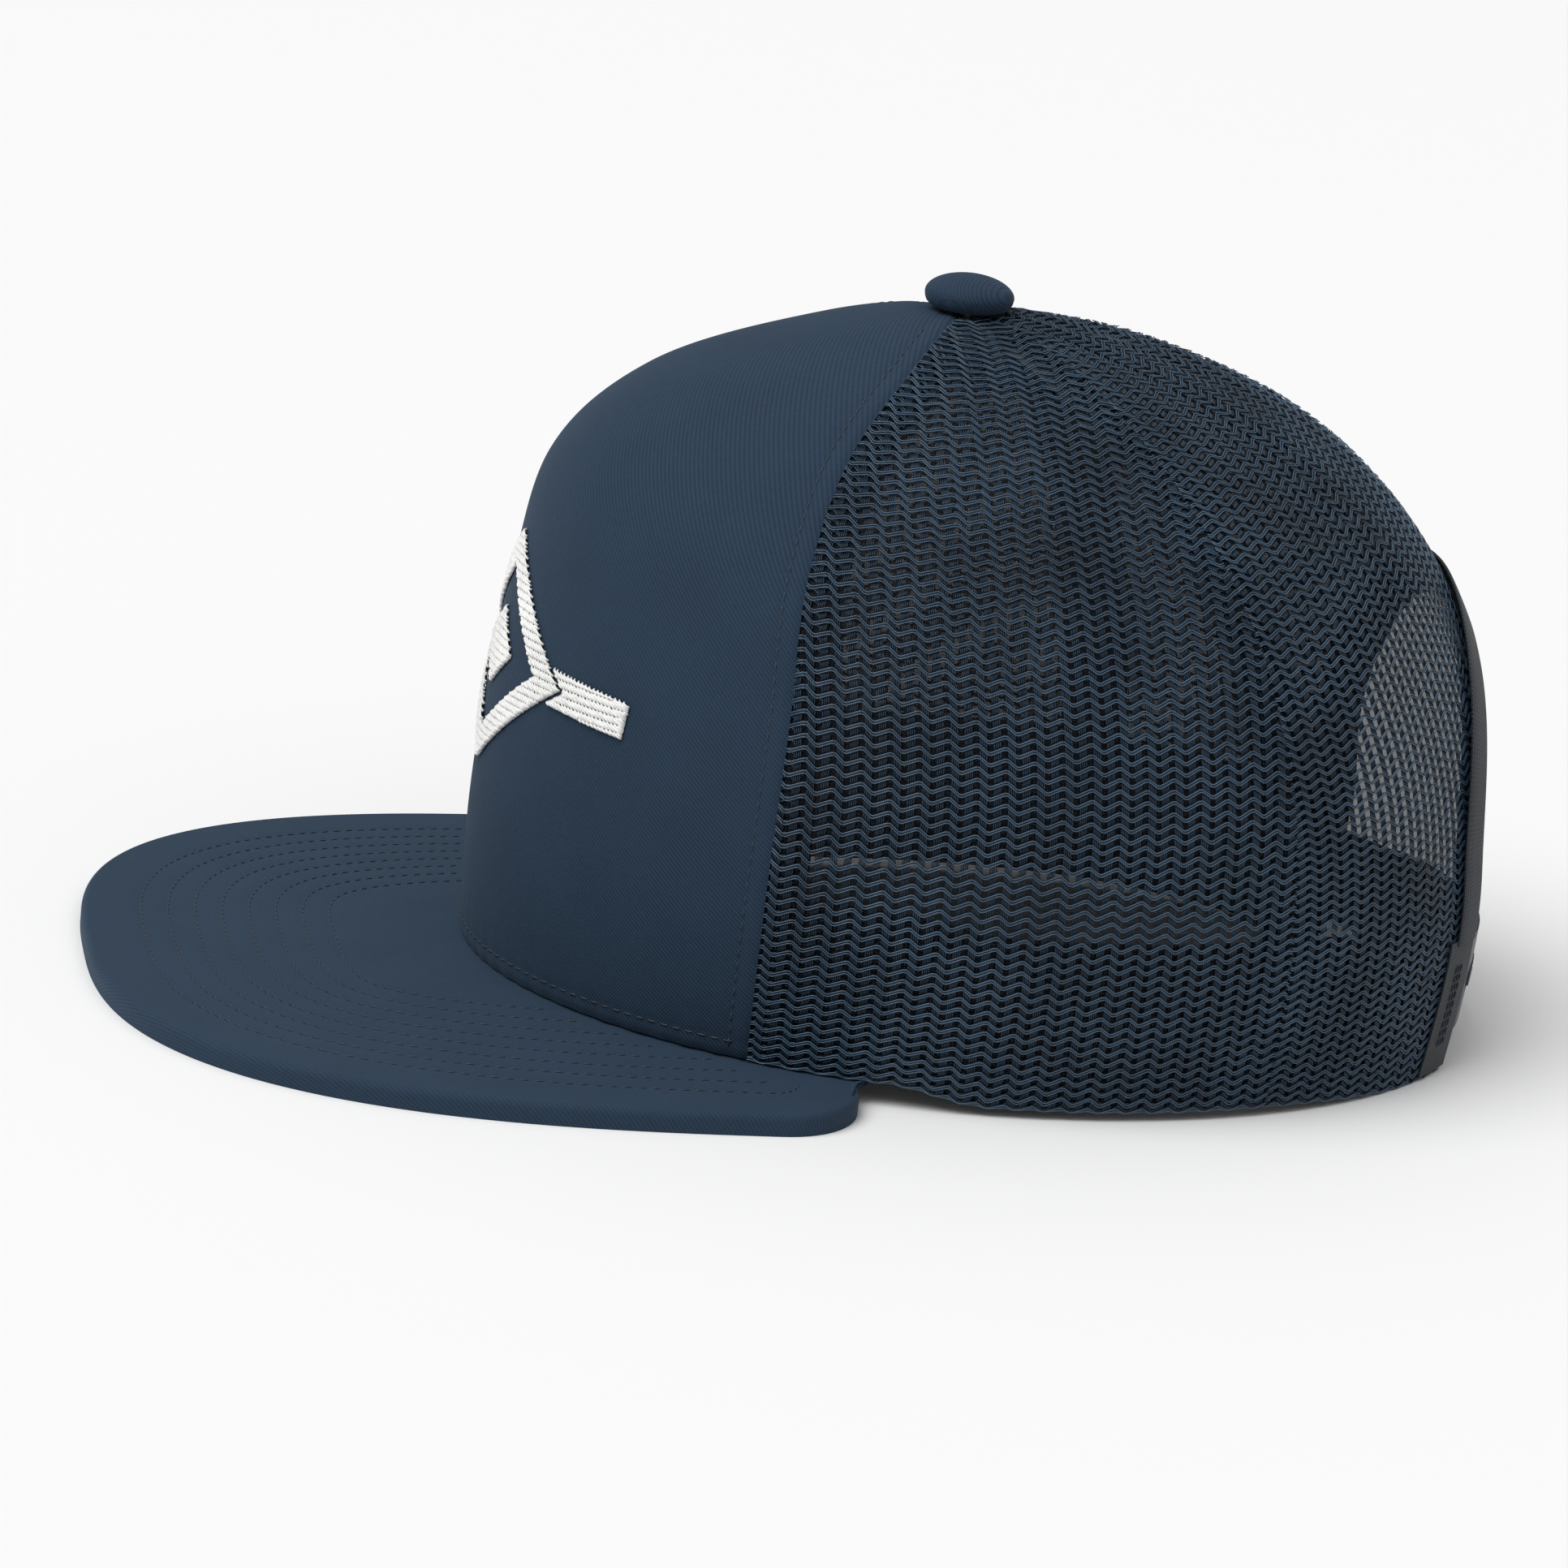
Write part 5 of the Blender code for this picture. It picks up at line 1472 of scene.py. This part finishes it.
def on_front(x, z, proud):
    """Points on the front panel from emblem coordinates."""
    flat_x, flat_z = np.ravel(x), np.ravel(z)
    t = share_at_height(0.0, EMBLEM_HEIGHT + flat_z)
    across, _ = slopes(np.zeros_like(t), t)
    angle = flat_x / np.linalg.norm(across, axis=-1)
    shape = np.shape(x) + (3,)
    return under(angle, t, -np.ravel(proud)).reshape(shape), outward(angle, t).reshape(shape)


def fill(inside):
    """Stitches that fill a shape: line by line across it, cut into lengths."""
    along = np.array((math.cos(FILL_LEAN), math.sin(FILL_LEAN)))
    aside = np.array((-along[1], along[0]))
    sample = np.arange(-60 * MM, 60 * MM, 0.1 * MM)
    made = []
    for n, offset in enumerate(np.arange(-45 * MM, 45 * MM, FILL_PITCH)):
        x = sample * along[0] + offset * aside[0]
        z = sample * along[1] + offset * aside[1]
        ok = inside(x, z)
        if not ok.any():
            continue
        edges = np.nonzero(np.diff(np.concatenate([[0], ok.astype(int), [0]])))[0].reshape(-1, 2)
        for first, last in edges:
            start, end = sample[first], sample[min(last, len(sample) - 1)]
            if end - start < SHORTEST_FILL:
                continue
            phase = (n % FILL_PHASES) / FILL_PHASES * FILL_STITCH
            first_cut, last_cut = (start - phase) / FILL_STITCH, (end - phase) / FILL_STITCH
            cuts = np.arange(math.floor(first_cut), math.ceil(last_cut) + 1) * FILL_STITCH + phase
            cuts = cuts[(cuts > start + SHORTEST_END) & (cuts < end - SHORTEST_END)]
            cuts = np.concatenate([[start], cuts, [end]])
            for a, b in zip(cuts, cuts[1:]):
                stops = a + (b - a) * np.array([0, 0.18, 0.5, 0.82, 1])
                made.append(stops[:, None] * along + offset * aside)
    return np.array(made)


for name, inside in SHAPES.items():
    lines = fill(inside)
    lift = np.array([0.3, 0.92, 1.0, 0.92, 0.3]) * EMBLEM_PROUD
    proud = np.broadcast_to(lift, lines.shape[:2]) + EMBLEM_UNEVEN * rng.standard_normal((len(lines), 1))
    points, facing = on_front(lines[..., 0], lines[..., 1], proud)
    made = bundle(f"{name}_stitches", [(points, facing, FILL_HALF_WIDTH, FILL_HALF_DEPTH, 6)])
    riding(made, "thread", EMBROIDERY, name)
    print(name, len(lines), "stitches")

# %% [markdown]
# ## Hidden hardware
# The board, shell and tack keep the exact shapes they were engineered with and only get finishes.

# %% Finishes on engineered parts
for node, finish in (("visor_board", BOARD), ("button_shell", STEEL), ("button_tack", STEEL)):
    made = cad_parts[node]
    for place in made.material_slots:
        place.material = finish
    print(node, "finished as", finish.name)

# %% [markdown]
# ## Studio
# A wide pale floor and an even, weak surround. Two soft lights as large as a wall do most of the
# work: one from in front and above, and a wider and weaker one from overhead, which keeps the shadow
# soft. The camera is a long lens at the cap's left, a little above it, and tilted slightly.

# %% Floor
FLOOR_SIZE = 30

bpy.ops.object.select_all(action="DESELECT")
bpy.ops.mesh.primitive_plane_add(size=FLOOR_SIZE, location=(0, 0, 0))
floor = bpy.context.object
floor.name = "floor"
paper = new_material("White paper floor", "#eaeaea", 0.9)[0]
dress(floor, paper)
print("floor", FLOOR_SIZE, "m wide")

# %% Lights
WORLD_STRENGTH = 0.26
WHITE = (1, 1, 1, 1)

world = bpy.data.worlds.new("Studio")
bpy.context.scene.world = world
world.use_nodes = True
background = world.node_tree.nodes["Background"]
background.inputs["Color"].default_value = WHITE
background.inputs["Strength"].default_value = WORLD_STRENGTH


def soft_light(name, direction, strength, spread):
    """A large softbox far away: light from one side that is as wide as spread."""
    data = bpy.data.lights.new(name, "SUN")
    data.energy = strength
    data.angle = math.radians(spread)
    made = add_object(name, data)
    made.rotation_euler = Vector(direction).to_track_quat("Z", "Y").to_euler()
    print(name, "light", spread, "degrees wide")


soft_light("Key", (0.3, -0.7, 1.1), 2.25, 45)
soft_light("Top", (0.1, 0.1, 1), 1.05, 100)
bpy.context.scene.view_settings.view_transform = "Standard"

# %% Camera
VIEW_AZIMUTH, VIEW_ELEVATION, VIEW_TILT = (math.radians(a) for a in (76.56, 16.23, 6.59))
VIEW_DISTANCE = 0.9585
VIEW_LENS, SENSOR_WIDTH = 111.6, 36
TARGET_AHEAD, TARGET_HEIGHT = 42.39 * MM, 40.29 * MM

level_reach = math.cos(VIEW_ELEVATION)
back = Vector((
    math.sin(VIEW_AZIMUTH) * level_reach, -math.cos(VIEW_AZIMUTH) * level_reach, math.sin(VIEW_ELEVATION)
))
target = Vector((0, CROWN_MIDDLE_Y - TARGET_AHEAD, TARGET_HEIGHT))
lens = bpy.data.cameras.new("Camera")
lens.lens = VIEW_LENS
lens.sensor_width = SENSOR_WIDTH
camera = add_object("Camera", lens)
level = Matrix.Rotation(VIEW_TILT, 3, back)
right = level @ Vector((0, 0, 1)).cross(back).normalized()
up = back.cross(right)
turned = Matrix((right, up, back)).transposed().to_4x4()
camera.matrix_world = Matrix.Translation(target + back * VIEW_DISTANCE) @ turned
bpy.context.scene.camera = camera
print("camera", round(VIEW_DISTANCE, 2), "m away, lens", VIEW_LENS, "mm")
